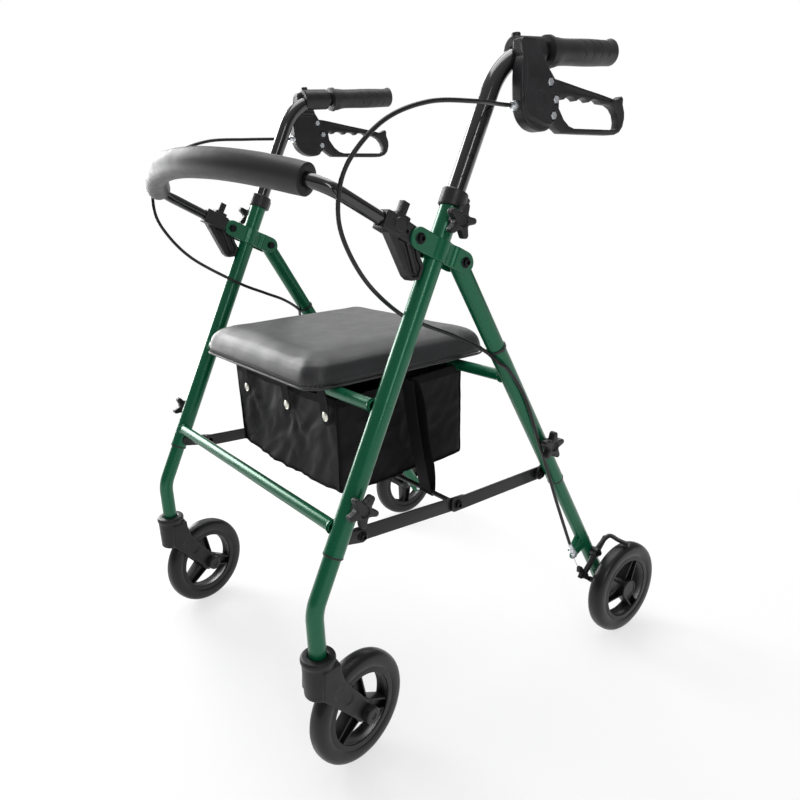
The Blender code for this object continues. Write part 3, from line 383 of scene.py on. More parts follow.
def rod(start, end, radius, sides=32, soft=0.0):
    """Solid rod whose end edges are rounded by soft."""
    start = Vector(start)
    end = Vector(end)
    length = (end - start).length
    profile = [(0, 0)]
    if soft:
        profile += [(radius - soft, 0), (radius - soft * 0.3, soft * 0.3), (radius, soft)]
        profile += [(radius, length - soft), (radius - soft * 0.3, length - soft * 0.3)]
        profile += [(radius - soft, length)]
    else:
        profile += [(radius, 0), (radius, length)]
    profile += [(0, length)]
    return turned(profile, start, end - start, sides)


def turned(profile, origin, axis, sides=48):
    """Solid of revolution; a profile that doesn't start on the axis is a closed ring."""
    axis = Vector(axis).normalized()
    first, second = across(axis)
    bm = bmesh.new()
    rings = []
    for radius, along in profile:
        centre = Vector(origin) + axis * along
        if radius == 0:
            rings.append([bm.verts.new(centre)])
        else:
            rings.append(ring_at(bm, centre, first, second, radius, sides))
    closed = rings if profile[0][0] == 0 else rings + [rings[0]]
    for near, far in zip(closed, closed[1:]):
        if len(near) == 1 and len(far) == 1:
            continue
        if len(near) == 1 or len(far) == 1:
            tip = near[0] if len(near) == 1 else far[0]
            rim = far if len(near) == 1 else near
            for i in range(sides):
                bm.faces.new((tip, rim[i], rim[(i + 1) % sides]))
        else:
            skin(bm, [near, far])
    return tidy(bm)


YZ = Matrix(((0, 0, 1, 0), (1, 0, 0, 0), (0, 1, 0, 0), (0, 0, 0, 1)))


def flat(loops, x_low, x_high, soft=0.0008, steps=2, matrix=YZ):
    """Plate with rounded edges from outlines in its plane; later loops are holes."""
    curve = bpy.data.curves.new("flat", "CURVE")
    curve.dimensions = "2D"
    curve.fill_mode = "BOTH"
    curve.extrude = (x_high - x_low) / 2 - soft
    curve.bevel_depth = soft
    curve.bevel_resolution = steps
    curve.offset = -soft
    for loop in loops:
        spline = curve.splines.new("POLY")
        spline.points.add(len(loop) - 1)
        for point, (u, v) in zip(spline.points, loop):
            point.co = (u, v, 0, 1)
        spline.use_cyclic_u = True
    obj = bpy.data.objects.new("flat", curve)
    bpy.context.scene.collection.objects.link(obj)
    depsgraph = bpy.context.evaluated_depsgraph_get()
    mesh = bpy.data.meshes.new_from_object(obj.evaluated_get(depsgraph))
    bm = bmesh.new()
    bm.from_mesh(mesh)
    bpy.data.objects.remove(obj)
    bpy.data.meshes.remove(mesh)
    shift = Matrix.Translation((0, 0, (x_low + x_high) / 2))
    bmesh.ops.transform(bm, matrix=matrix @ shift, verts=bm.verts)
    return tidy(bm)


def capsule(start, end, radius, far_radius=None, steps=12):
    """Outline in (y, z) of a bar with round ends."""
    far = radius if far_radius is None else far_radius
    along = (end - start).normalized()
    heading = math.atan2(along.z, along.y)
    outline = []
    for centre, size, turn in ((end, far, -math.pi / 2), (start, radius, math.pi / 2)):
        for i in range(steps + 1):
            angle = heading + turn + math.pi * i / steps
            outline.append((centre.y + size * math.cos(angle), centre.z + size * math.sin(angle)))
    return outline


def circle(centre_u, centre_v, radius, steps=24):
    return [
        (centre_u + radius * math.cos(2 * math.pi * i / steps),
         centre_v + radius * math.sin(2 * math.pi * i / steps))
        for i in range(steps)
    ]


def rounded(outline, radius, steps=5):
    """Round every corner of a closed outline, as far as its sides allow."""
    result = []
    count = len(outline)
    for i in range(count):
        here = Vector(outline[i])
        before = Vector(outline[i - 1]) - here
        after = Vector(outline[(i + 1) % count]) - here
        reach = min(radius, before.length * 0.45, after.length * 0.45)
        start = here + before.normalized() * reach
        end = here + after.normalized() * reach
        for k in range(steps + 1):
            t = k / steps
            result.append(tuple(start * (1 - t) ** 2 + here * 2 * t * (1 - t) + end * t * t))
    return result


def arc_path(corner, incoming, outgoing, radius, steps=16):
    """Points of a bend that rounds a corner between two directions."""
    angle = incoming.angle(outgoing)
    start = corner - incoming * radius * math.tan(angle / 2)
    towards = (outgoing - incoming * outgoing.dot(incoming)).normalized()
    centre = start + towards * radius
    points = []
    for i in range(steps + 1):
        a = angle * i / steps
        points.append(centre - towards * radius * math.cos(a) + incoming * radius * math.sin(a))
    return points


def smooth_path(knots, per_span=10):
    """Catmull-Rom curve through a list of points."""
    knots = [Vector(k) for k in knots]
    ends = [knots[0] * 2 - knots[1]] + knots + [knots[-1] * 2 - knots[-2]]
    path = []
    for a, b, c, d in zip(ends, ends[1:], ends[2:], ends[3:]):
        for i in range(per_span):
            t = i / per_span
            path.append(
                0.5 * (2 * b + (c - a) * t + (2 * a - 5 * b + 4 * c - d) * t ** 2
                       + (3 * b - a - 3 * c + d) * t ** 3)
            )
    path.append(knots[-1])
    return path


def hexagon(centre, axis, radius, height):
    """Hexagonal bolt head with chamfered corners."""
    return turned([(0, 0), (radius, 0), (radius, height * 0.7), (radius * 0.85, height), (0, height)],
                  centre, axis, 6)


# ---------------------------------------------------------------- objects

def to_object(shells, name="temporary"):
    merged = bmesh.new()
    for shell in shells:
        mesh = bpy.data.meshes.new("shell")
        shell.to_mesh(mesh)
        merged.from_mesh(mesh)
        bpy.data.meshes.remove(mesh)
    mesh = bpy.data.meshes.new(name)
    merged.to_mesh(mesh)
    merged.free()
    obj = bpy.data.objects.new(name, mesh)
    bpy.context.scene.collection.objects.link(obj)
    return obj


def bake(obj):
    """Apply an object's modifiers."""
    depsgraph = bpy.context.evaluated_depsgraph_get()
    mesh = bpy.data.meshes.new_from_object(obj.evaluated_get(depsgraph))
    obj.modifiers.clear()
    obj.data = mesh
    return obj


def soften(obj, iterations):
    modifier = obj.modifiers.new("soften", "SMOOTH")
    modifier.factor = 0.5
    modifier.iterations = iterations
    bake(obj)


def fuse(obj, voxel):
    modifier = obj.modifiers.new("fuse", "REMESH")
    modifier.mode = "VOXEL"
    modifier.voxel_size = voxel
    bake(obj)


def to_bmesh(obj):
    bm = bmesh.new()
    bm.from_mesh(obj.data)
    bpy.data.objects.remove(obj)
    return bm


def cut(shells, cutters):
    """Exact Boolean difference."""
    body = to_object(shells)
    for cutter in cutters:
        tool = to_object([cutter])
        modifier = body.modifiers.new("cut", "BOOLEAN")
        modifier.operation = "DIFFERENCE"
        modifier.solver = "EXACT"
        modifier.object = tool
        bake(body)
        bpy.data.objects.remove(tool)
    return to_bmesh(body)


def cast(shells, voxel, smooth, cutters=()):
    """Fuse shells into one moulding with small fillets where they meet, then cut it."""
    body = to_object(shells)
    rounds = [None] if not cutters else [list(cutters), None]
    for tools in rounds:
        fuse(body, voxel)
        if tools:
            body = to_object([cut([to_bmesh(body)], tools)])
    soften(body, smooth)
    return to_bmesh(body)


def moved(bm, matrix):
    copy = bm.copy()
    bmesh.ops.transform(copy, matrix=matrix, verts=copy.verts)
    return copy


def flipped(bm, plane=0.0):
    """Mirror a shell from left to right, or about another plane across X."""
    copy = moved(bm, Matrix.Translation((2 * plane, 0, 0)) @ Matrix.Diagonal((-1, 1, 1, 1)))
    bmesh.ops.reverse_faces(copy, faces=copy.faces)
    return copy


def piece(name, shells, material, body, nodes=(), sharp=34):
    """One visible piece: its material, the body it rides on and the nodes it stands for."""
    obj = to_object(shells, name)
    obj.data.transform(Matrix.Translation(MIDWAY))
    obj.data.materials.append(material)
    obj.data.shade_smooth()
    obj.data.set_sharp_from_angle(angle=math.radians(sharp))
    if body:
        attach(obj, body)
    if nodes:
        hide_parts(*nodes)
    return obj


def pair(name, shells, material, body, node=None, sharp=34):
    """The same piece on both sides; {} in a body's name stands for left or right."""
    made = []
    for side, sign in SIDES:
        own = shells if sign > 0 else [flipped(shell) for shell in shells]
        nodes = [f"{node}_{side}"] if node else []
        made.append(piece(f"{name}_{side}", own, material, body.format(side), nodes, sharp))
    return made


# ---------------------------------------------------------------- green frame

EAR_THICKNESS = 0.0028
FRONT_EAR = 0.0095      # from the side frame's plane to the inside of an ear
REAR_EAR = 0.0125


def bracket_half():
    """Outboard half of a hinge bracket: front ear, bulge round the tube, rear ear."""
    reach = (HINGE - BRACKET).length
    ear_radius = 0.013
    edge = 0.0009
    bulge = TUBE_RADIUS + GAP
    bm = bmesh.new()
    rings = []
    steps = 96
    total = reach + ear_radius
    for i in range(steps + 1):
        n = -total * math.cos(math.pi * i / steps)
        past = max(abs(n) - reach, 0.0)
        half = math.sqrt(max(ear_radius ** 2 - past ** 2, 1e-7))
        joggle = min(max((n - 0.0155) / 0.006, 0.0), 1.0)
        level = FRONT_EAR + (REAR_EAR - FRONT_EAR) * joggle ** 2 * (3 - 2 * joggle)
        swell = math.sqrt(max(bulge ** 2 - n ** 2, 0.0)) if abs(n) < bulge else 0.0
        low = (level ** 8 + max(swell, 1e-5) ** 8) ** 0.125 if swell else level
        high = low + EAR_THICKNESS
        inset = min(edge, half * 0.5)
        corners = (
            (high, half - inset), (high - inset, half), (low, half), (low, -half),
            (high - inset, -half), (high, -half + inset),
        )
        centre = BRACKET + TUBE_NORMAL * n
        rings.append([
            bm.verts.new(left(centre + TUBE_DIR * along, x)) for x, along in corners
        ])
    return capped(bm, rings)


def weld(centre, axis, radius):
    """Weld bead where a cross tube meets a side tube."""
    return turned(
        [(radius * 0.8, -0.001), (radius + 0.0016, -0.001), (radius + 0.0012, 0.0008),
         (radius + 0.0003, 0.002), (radius * 0.8, 0.0022)],
        centre, axis, 32,
    )


LOWER_CROSS = Vector((0, -0.2355, 0.3411))
REAR_CROSS = Vector((0, 0.0475, 0.4724))
TUBE_FOOT = on_tube(0.3108)
TUBE_TOP = on_tube(0.7095)
REAR_TUBE_END = 0.3924


def build_front_frame():
    tubes = [tube([left(TUBE_FOOT), left(TUBE_TOP)], TUBE_RADIUS, TUBE_RADIUS - WALL, 64)]
    for centre in (LOWER_CROSS, SEAT_TUBE):
        tubes.append(weld(left(centre, -TUBE_RADIUS + 0.0002), -X, CROSS_RADIUS))
    half = bracket_half()
    shells = tubes + [half, flipped(half, TRACK)]
    shells += [flipped(shell) for shell in shells]
    for centre in (LOWER_CROSS, SEAT_TUBE):
        reach = X * (TRACK - TUBE_RADIUS + 0.004)
        shells.append(tube([centre - reach, centre + reach], CROSS_RADIUS, CROSS_RADIUS - WALL, 40))
    piece("frame_tubes", shells, GREEN, "frame", ["front_frame"])
    lug_plane = TRACK - TUBE_RADIUS - 0.0041
    outline = capsule(on_tube(0.324) + TUBE_NORMAL * 0.006, LINK_FRONT, 0.0085)
    lug = flat([outline], lug_plane, lug_plane + 0.006)
    pair("front_link_lug", [lug], SATIN, "frame")


def build_front_legs():
    bend_height = TUBE_FOOT.z + (joint_at("caster_swivel_left").y - TUBE_FOOT.y) * TUBE_DIR.z / TUBE_DIR.y
    corner = on_tube(bend_height)
    points = [left(on_tube(0.4)), left(TUBE_FOOT)]
    points += arc_path(left(corner), -TUBE_DIR, -Z, 0.06, 20)
    points.append(left(Vector((0, corner.y, 0.1845))))
    pair("front_leg_tube", [tube(points, 0.0111, 0.0098, 48)], GREEN, "frame", "front_leg")
    profile = [(0.0109, -0.0016), (0.0126, -0.0016), (0.0131, -0.0004), (0.0131, 0.0008), (0.0109, 0.0008)]
    ring = turned(profile, left(TUBE_FOOT), TUBE_DIR, 48)
    pair("leg_seal", [ring], PLASTIC, "frame")


def build_rear_frame():
    shells = [
        tube([left(on_rear(-0.009)), left(on_rear(REAR_TUBE_END))], REAR_TUBE_RADIUS, 0.0107, 64),
        weld(left(REAR_CROSS, -REAR_TUBE_RADIUS + 0.0002), -X, CROSS_RADIUS),
    ]
    shells += [flipped(shell) for shell in shells]
    reach = X * (TRACK - REAR_TUBE_RADIUS + 0.004)
    shells.append(tube([REAR_CROSS - reach, REAR_CROSS + reach], CROSS_RADIUS, CROSS_RADIUS - WALL, 40))
    piece("rear_tubes", shells, GREEN, "rear", ["rear_frame"])
    lug_plane = TRACK - 0.0131
    lug = flat([capsule(on_rear(0.372) - Y * 0.004, LINK_REAR, 0.0085)], lug_plane, lug_plane + 0.005)
    pair("rear_link_lug", [lug], SATIN, "rear")
    ring = turned([(0.01, -0.0012), (0.0119, -0.0012), (0.0125, 0.0), (0.0119, 0.0018), (0.01, 0.0018)],
                  left(on_rear(REAR_TUBE_END + 0.0012)), REAR_DIR, 48)
    pair("rear_seal", [ring], PLASTIC, "rear")


CABLE_LUG = Vector((0, 0.195, 0.15))
AXLE = Vector((0, WHEEL.y, WHEEL.z))


def build_rear_legs():
    leg = tube([left(on_rear(0.3)), left(on_rear(0.612))], REAR_LEG_RADIUS, 0.0091, 48)
    foot = flat([capsule(on_rear(0.6), AXLE, 0.0105, 0.0115)], TRACK - 0.0042, TRACK + 0.0042, 0.001)
    tab = flat([capsule(on_rear(0.542), CABLE_LUG, 0.0075)], TRACK + 0.005, TRACK + 0.0082, 0.0007)
    outline = capsule(CABLE_LUG + Vector((0, 0.002, 0.003)), on_rear(0.53) - Y * 0.006, 0.0028)
    flange = flat([outline], TRACK - 0.004, TRACK + 0.0075, 0.0006)
    stud = rod(left(SHOE_PIVOT), left(SHOE_PIVOT, SHOE_PIVOT.x - TRACK + 0.004), 0.004, 24, 0.0005)
    root = flat([capsule(on_rear(0.574), SHOE_PIVOT, 0.009, 0.006)], TRACK + 0.003, TRACK + 0.0062, 0.0006)
    pair("rear_leg_tube", [leg, foot, tab, flange, stud, root], GREEN, "rear", "rear_leg")


# ---------------------------------------------------------------- fasteners and collars

def bolt_end(centre, axis, radius, height):
    """Flanged dome head with a socket rim."""
    return turned([(0, 0), (radius, 0), (radius * 1.02, 0.0006), (radius * 0.92, 0.0012),
                   (radius * 0.72, 0.0014), (radius * 0.7, height * 0.8), (radius * 0.52, height),
                   (radius * 0.36, height), (radius * 0.34, height * 0.55), (0, height * 0.5)],
                  centre, axis, 32)


def build_bolts():
    for label, node, pivot, gap in (("hinge_bolt", "hinge_pin", HINGE, REAR_EAR),
                                    ("back_bolt", "backrest_bolt", BACK, FRONT_EAR)):
        reach = gap + EAR_THICKNESS
        shells = [
            bolt_end(left(pivot, reach), X, 0.0066, 0.0048),
            rod(left(pivot, -reach - 0.004), left(pivot, reach), 0.0029, 20),
            hexagon(left(pivot, -reach), -X, 0.0062, 0.005),
        ]
        pair(label, shells, BOLT, "frame", node)


def build_collars():
    """Collars at the tops of the main tubes, each with a small box on its rear outer side."""
    length = 0.0206
    low = -0.0123
    rim = 0.0162
    sleeve = turned(
        [(0.0128, low), (rim - 0.001, low), (rim, low + 0.001), (rim, low + length - 0.002),
         (rim - 0.0008, low + length - 0.0006), (rim - 0.0022, low + length), (0.0113, low + length),
         (0.0113, 0.0), (0.0128, 0.0)],
        left(TUBE_TOP), TUBE_DIR, 64,
    )
    lobe_at = left(TUBE_TOP + TUBE_NORMAL * 0.0125, 0.0035)
    lobe = rod(lobe_at + TUBE_DIR * (low + 0.002), lobe_at + TUBE_DIR * (low + length - 0.003), 0.0078, 32,
               0.0012)
    pair("collar", [cast([sleeve, lobe], 0.0006, 3)], PLASTIC, "frame", "tube_collar")


# ---------------------------------------------------------------- fold links and strap

def build_links():
    overhang = (LINK_MIDDLE - LINK_FRONT).normalized() * 0.008
    half_width = 0.00975
    thickness = 0.003
    front_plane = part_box("front_link_left")[0].x
    rear_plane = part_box("rear_link_left")[0].x
    for label, ends, plane in (("front", (LINK_FRONT, LINK_MIDDLE + overhang), front_plane),
                               ("rear", (LINK_MIDDLE, LINK_REAR), rear_plane)):
        outline = rounded(capsule_box(*ends, half_width), 0.005)
        bar = flat([outline], plane, plane + thickness, 0.0006)
        pair(f"{label}_bar", [bar], SATIN, f"{label}_links", f"{label}_link")
    bolts = [
        bolt_end(LINK_FRONT + X * (front_plane + 0.0101), X, 0.0066, 0.004),
        rod(LINK_FRONT + X * front_plane, LINK_FRONT + X * (front_plane + 0.011), 0.004, 20),
    ]
    pair("front_bar_bolt", bolts, BOLT, "front_links")
    bolts = [
        bolt_end(LINK_MIDDLE + X * (rear_plane + thickness), X, 0.0072, 0.0052),
        bolt_end(LINK_REAR + X * (rear_plane + 0.0092), X, 0.0064, 0.0038),
    ]
    pair("rear_bar_bolt", bolts, BOLT, "rear_links")
    end = X * (front_plane + thickness)
    cross = rod(LINK_MIDDLE - end, LINK_MIDDLE + end, 0.0035, 32, 0.0006)
    piece("fold_rod", [cross], SATIN, "front_links", ["cross_rod"])


def capsule_box(start, end, half):
    """Rectangular bar outline in (y, z), half a width past each pivot."""
    along = (end - start).normalized()
    normal = Vector((0, -along.z, along.y))
    corners = []
    for centre, sign in ((start, -1), (end, 1)):
        tip = centre + along * half * sign
        for turn in (sign, -sign):
            point = tip + normal * half * turn * -1
            corners.append((point.y, point.z))
    return corners


def build_strap():
    """Webbing loop round the fold rod, rising past the basket to the seat's edge."""
    thickness = 0.0011
    half_width = 0.0125
    top = Vector((0.168, -0.058, 0.474))
    bottom = Vector((0.17, LINK_MIDDLE.y, LINK_MIDDLE.z))
    radius = 0.0046
    steps = 26

    def run(side, bow, ripple):
        """One run of the loop, top to bottom, on its side of the rod."""
        for k in range(steps + 1):
            t = k / steps
            away = radius * (1 - 0.3 * t) + bow * math.sin(math.pi * t) + ripple * math.sin(3 * math.pi * t)
            yield top.y + (bottom.y - top.y) * t + side * away, top.z + (bottom.z - top.z) * t

    centre_line = list(run(-1, 0.003, 0.0))
    for k in range(1, 13):
        angle = math.pi + math.pi * k / 13
        centre_line.append((bottom.y + radius * math.cos(angle), bottom.z + radius * math.sin(angle)))
    centre_line += reversed(list(run(1, 0.006, 0.002)))
    bm = bmesh.new()
    rings = []
    for i, (y, z) in enumerate(centre_line):
        a = centre_line[max(i - 1, 0)]
        b = centre_line[min(i + 1, len(centre_line) - 1)]
        heading = Vector((0, b[0] - a[0], b[1] - a[1])).normalized()
        normal = Vector((0, -heading.z, heading.y)) * thickness / 2
        lean = bottom.x + (top.x - bottom.x) * (z - bottom.z) / (top.z - bottom.z)
        rings.append([
            bm.verts.new(Vector((lean + half_width * u * side, y, z)) + normal * side)
            for side in (-1, 1) for u in (-1, -0.5, 0, 0.5, 1)
        ])
    strap = piece("pull_strap", [capped(bm, rings)], WEBBING, "front_links", ["fold_strap"])
    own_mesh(strap)


# ---------------------------------------------------------------- wheels and forks

TYRE_BORE = 0.056
RIM_BORE = 0.0485
FRONT_PHASE = 5         # degrees by which the spokes stand turned
REAR_PHASES = {"left": -27, "right": 65}


def tyre_shell():
    half = 0.013
    profile = [(TYRE_BORE, -0.0112), (TYRE_BORE + 0.001, -0.012), (0.0602, -0.0127)]
    for i in range(15):
        angle = math.pi * i / 14
        squareness = 0.72
        side = -math.cos(angle)
        lift = math.sin(angle)
        profile.append((
            0.0628 + (WHEEL_RADIUS - 0.0628) * abs(lift) ** squareness,
            half * math.copysign(abs(side) ** 0.8, side),
        ))
    profile += [(0.0602, 0.0127), (TYRE_BORE + 0.001, 0.012), (TYRE_BORE, 0.0112)]
    return turned(profile, Vector(), X, 96)


def rim_shell():
    lip = 0.0112
    return turned(
        [(RIM_BORE, -lip), (TYRE_BORE - 0.001, -lip - 0.0003), (TYRE_BORE + 0.0002, -lip),
         (TYRE_BORE + 0.0002, lip), (TYRE_BORE - 0.001, lip + 0.0003), (RIM_BORE, lip),
         (RIM_BORE - 0.0006, lip - 0.0016), (RIM_BORE + 0.0022, 0.003), (RIM_BORE + 0.0022, -0.003),
         (RIM_BORE - 0.0006, -lip + 0.0016)],
        Vector(), X, 96,
    )


def spoke_shells(turn):
    """A channel-section spoke: a thin web between two deep flanges."""
    root = 0.0115
    tip = RIM_BORE + 0.0015
    shells = [flat([[(-0.01, root), (0.01, root), (0.0066, tip), (-0.0066, tip)]], -0.003, 0.003, 0.0006)]
    for side in (-1, 1):
        wall = [(side * 0.0112, root), (side * 0.0074, tip), (side * 0.0048, tip), (side * 0.0084, root)]
        shells.append(flat([wall], -0.0092, 0.0092, 0.0007))
    spin = Matrix.Rotation(turn, 4, "X")
    return [moved(shell, spin) for shell in shells]


def hub_shell(inner, outer):
    """Boss with a stepped, dished cap at its outer end."""
    return turned(
        [(0, inner), (0.0125, inner), (0.015, inner + 0.0015), (0.0158, -0.002), (0.0158, 0.004),
         (0.0152, outer - 0.0042), (0.016, outer - 0.0038), (0.016, outer - 0.001), (0.0152, outer),
         (0.0138, outer), (0.0132, outer - 0.001), (0, outer - 0.0012)],
        Vector(), X, 64,
    )


def frame_at(origin, axis):
    """Matrix that takes +X to a level axis and the origin to a point."""
    return Matrix.Translation(origin) @ Matrix((axis, Z.cross(axis), Z)).transposed().to_4x4()


def wheel(end, side, axis, outer, phase):
    """Front or rear wheel: its tyre, and its rim with hub and three spokes."""
    place = frame_at(joint_at(f"{end}_wheel_spin_{side}"), axis.normalized())
    body = f"{end}_wheel_{side}"
    piece(f"tyre_{end}_{side}", [moved(tyre_shell(), place)], TYRE, body,
          [f"{end}_tyre_{side}"])
    shells = [rim_shell(), hub_shell(-0.015, outer)]
    for i in range(3):
        shells += spoke_shells(math.radians(phase + 120 * i))
    shells = [moved(shell, place) for shell in shells]
    piece(f"wheel_{end}_{side}", shells, WHEEL_PLASTIC, body,
          [f"{end}_wheel_hub_{side}"])


TRAIL = 0.058


def fork_shell():
    """Caster fork in its own place: stem at the origin, wheel trailing along +Y."""
    outer = 0.0215
    inner = 0.0155
    clearance = 0.0805
    arm = [(-0.009, 0.176), (-0.0115, 0.15), (-0.0125, 0.1375), (-0.006, 0.13), (0.048, 0.067)]
    for i in range(9):
        angle = math.radians(-130 + 170 * i / 8)
        arm.append((TRAIL + 0.0118 * math.cos(angle), WHEEL_RADIUS + 0.0118 * math.sin(angle)))
    arm += [(0.0235, 0.146), (0.019, 0.164), (0.018, 0.176)]
    block = [(-0.008, 0.178), (-0.008, 0.143)]
    for i in range(7):
        angle = math.radians(138 - 22 * i / 6)
        block.append((TRAIL + clearance * math.cos(angle), WHEEL_RADIUS + clearance * math.sin(angle)))
    block += [(0.0235, 0.146), (0.019, 0.164), (0.018, 0.178)]
    crown = turned(
        [(0, 0.1335), (0.0192, 0.1335), (0.0204, 0.1355), (0.0207, 0.177), (0.0212, 0.1795),
         (0.0221, 0.1815), (0.0221, 0.1856), (0.0212, 0.1874), (0.019, 0.1882), (0.0128, 0.1886),
         (0.0118, 0.188), (0.0115, 0.184), (0.0115, 0.178), (0, 0.178)],
        Vector(), Z, 64,
    )
    shells = [crown, flat([block], -inner - 0.002, inner + 0.002, 0.002)]
    for side in (-1, 1):
        low, high = sorted((side * inner, side * outer))
        shells.append(flat([arm], low, high, 0.0018))
    axle = Vector((0, TRAIL, WHEEL_RADIUS))
    recesses = [rod(axle - X * inner, axle + X * inner, clearance, 96)]
    along = Vector((0, 0.048 + 0.013, 0.069 - 0.143)).normalized()
    mid = Vector((0, 0.0155, 0.131))
    for side in (-1, 1):
        low, high = sorted((side * (outer - 0.0011), side * (outer + 0.004)))
        start = mid - along * 0.004
        end = mid + along * 0.017
        recesses.append(flat([capsule(start, end, 0.0078)], low, high, 0.0004))
    return cast(shells, 0.00085, 5, recesses)


def build_casters():
    fork = fork_shell()
    axle = Vector((0, TRAIL, WHEEL_RADIUS))
    for side, _ in SIDES:
        stem = joint_at(f"caster_swivel_{side}")
        stem.z = 0
        axis = joint_axis(f"front_wheel_spin_{side}")
        place = frame_at(stem, axis)
        body = f"caster_{side}"
        piece(f"caster_fork_{side}", [moved(fork, place)], FORK_PLASTIC, body,
              [f"fork_{side}"], 60)
        cap = [(0, 0), (0.0118, 0), (0.012, 0.0012), (0.0114, 0.0086), (0.01, 0.0098), (0.0046, 0.0099),
               (0.004, 0.0088), (0, 0.0086)]
        shells = [turned(cap, axle + X * turn * 0.0216, X * turn, 40) for turn in (-1, 1)]
        shells.append(rod(axle - X * 0.022, axle + X * 0.022, 0.0038, 24))
        shells = [moved(shell, place) for shell in shells]
        piece(f"caster_axle_{side}", shells, PLASTIC, body, [f"front_axle_{side}"])
        wheel("front", side, axis, 0.015, FRONT_PHASE)


def build_rear_wheels():
    for side, sign in SIDES:
        wheel("rear", side, X * sign, 0.0165, REAR_PHASES[side])
    shells = [
        hexagon(left(AXLE, -0.0045), -X, 0.007, 0.005),
        turned([(0, 0.0045), (0.0085, 0.0045), (0.0085, 0.006), (0.0064, 0.0062), (0.0064, 0.0284),
                (0, 0.0284)], left(AXLE), X, 32),
        rod(AXLE + X * 0.239, AXLE + X * 0.306, 0.0039, 24),
    ]
    pair("rear_spindle", shells, ZINC, "rear", "rear_axle")


# ---------------------------------------------------------------- star knobs

def knob_shell():
    """Five-armed clamping knob with a sunken face, its neck towards the tube."""
    shells = []
    head_low = 0.0072
    head_high = 0.0182
    for i in range(5):
        angle = math.radians(90 + 72 * i)
        tip = Vector((0, 0.0172 * math.cos(angle), 0.0172 * math.sin(angle)))
        shells.append(flat([capsule(Vector((0, 0, 0)), tip, 0.007, 0.004)], head_low, head_high, 0.0018))
    rim = head_high - 0.001
    middle_disc = [(0, head_low), (0.0105, head_low), (0.011, rim), (0, rim)]
    neck = [(0, 0), (0.0082, 0), (0.0088, 0.0008), (0.0088, 0.009), (0, 0.009)]
    shells += [turned(profile, Vector(), X, 48) for profile in (middle_disc, neck)]
    dish = turned([(0, head_high - 0.0028), (0.0062, head_high - 0.0028), (0.0078, head_high + 0.003),
                   (0, head_high + 0.003)], Vector(), X, 48)
    return cast(shells, 0.0006, 5, [dish])


def build_knobs():
    knob = knob_shell()
    for side, sign in SIDES:
        for label, turn in (("handle_knob", -23), ("front_leg_knob", 30), ("rear_leg_knob", -8)):
            place = joint_at(f"{label}_turn_{side}")
            spin = Matrix.Rotation(math.radians(turn), 4, "X")
            shell = moved(knob, spin)
            shell = shell if sign > 0 else flipped(shell)
            piece(f"star_{label}_{side}", [moved(shell, Matrix.Translation(place))], PLASTIC,
                  f"{label}_{side}", [f"{label}_{side}"], 60)


# ---------------------------------------------------------------- handles, grips and brakes

HANDLE_CORNER = Vector((0, 0.0348, 0.873))
HANDLE_TILT = math.radians(3.3)
HANDLE_DIR = Vector((0, math.cos(HANDLE_TILT), math.sin(HANDLE_TILT)))
GRIP_START = 0.0717
GRIP_END = 0.202
LEVER_X = LEVER_PIVOT.x


def handle_path(foot_z, reach):
    points = [left(on_tube(foot_z))]
    points += arc_path(left(HANDLE_CORNER), TUBE_DIR, HANDLE_DIR, 0.09, 24)
    points.append(left(HANDLE_CORNER + HANDLE_DIR * reach))
    return points


def dense(points, step):
    """The same path with extra points along its straight runs."""
    result = [points[0]]
    for a, b in zip(points, points[1:]):
        count = max(1, round((b - a).length / step))
        result += [a.lerp(b, k / count) for k in range(1, count + 1)]
    return result


def build_handle_tubes():
    """Handle tubes with a row of height holes on their outer side."""
    outer = tube(dense(handle_path(0.6, 0.198), 0.004), HANDLE_RADIUS, 0.0099, 56)
    facing = Vector((0.9, -0.39, 0.0))
    facing = (facing - TUBE_DIR * facing.dot(TUBE_DIR)).normalized()
    holes = []
    for i in range(4):
        centre = left(on_tube(0.7307 + 0.023 * i))
        holes.append(rod(centre + facing * 0.004, centre + facing * 0.02, 0.0031, 24))
    pair("handle_bar", [cut([outer], holes)], GLOSS, "handle_{}", "handle_tube")
    inside = tube([left(on_tube(0.72)), left(on_tube(0.822))], 0.0098, 0.0, 24)
    pair("handle_bore", [inside], PLASTIC, "handle_{}")


def grip_radius(share, angle):
    """Grip radius: front flange, palm swell, sunken crescents and a lip above the end."""
    radius = 0.0156
    radius += 0.0013 * math.exp(-((share - 0.1) / 0.09) ** 2)
    radius += 0.0007 * math.exp(-((share - 0.62) / 0.22) ** 2)
    if share < 0.052:
        radius += 0.0028 * min(1.0, math.sin(math.pi * min(share / 0.052, 1.0)) * 2.2)
    under = max(0.0, -math.sin(angle))
    radius += 0.0016 * under * math.exp(-((share - 0.09) / 0.06) ** 2)
    flare = max(0.0, (share - 0.9) / 0.1)
    upward = max(0.0, math.sin(angle)) ** 2
    radius += 0.003 * flare ** 2 * upward
    side = math.atan2(math.sin(angle - 0.25), abs(math.cos(angle - 0.25)))
    limit = 0.95
    if abs(side) < limit:
        fall = 1 - (side / limit) ** 2
        for crest in (0.44, 0.56, 0.68, 0.8):
            distance = share - (crest + 0.045 * fall)
            radius -= 0.0013 * math.exp(-(distance / 0.012) ** 2) * fall
    return radius


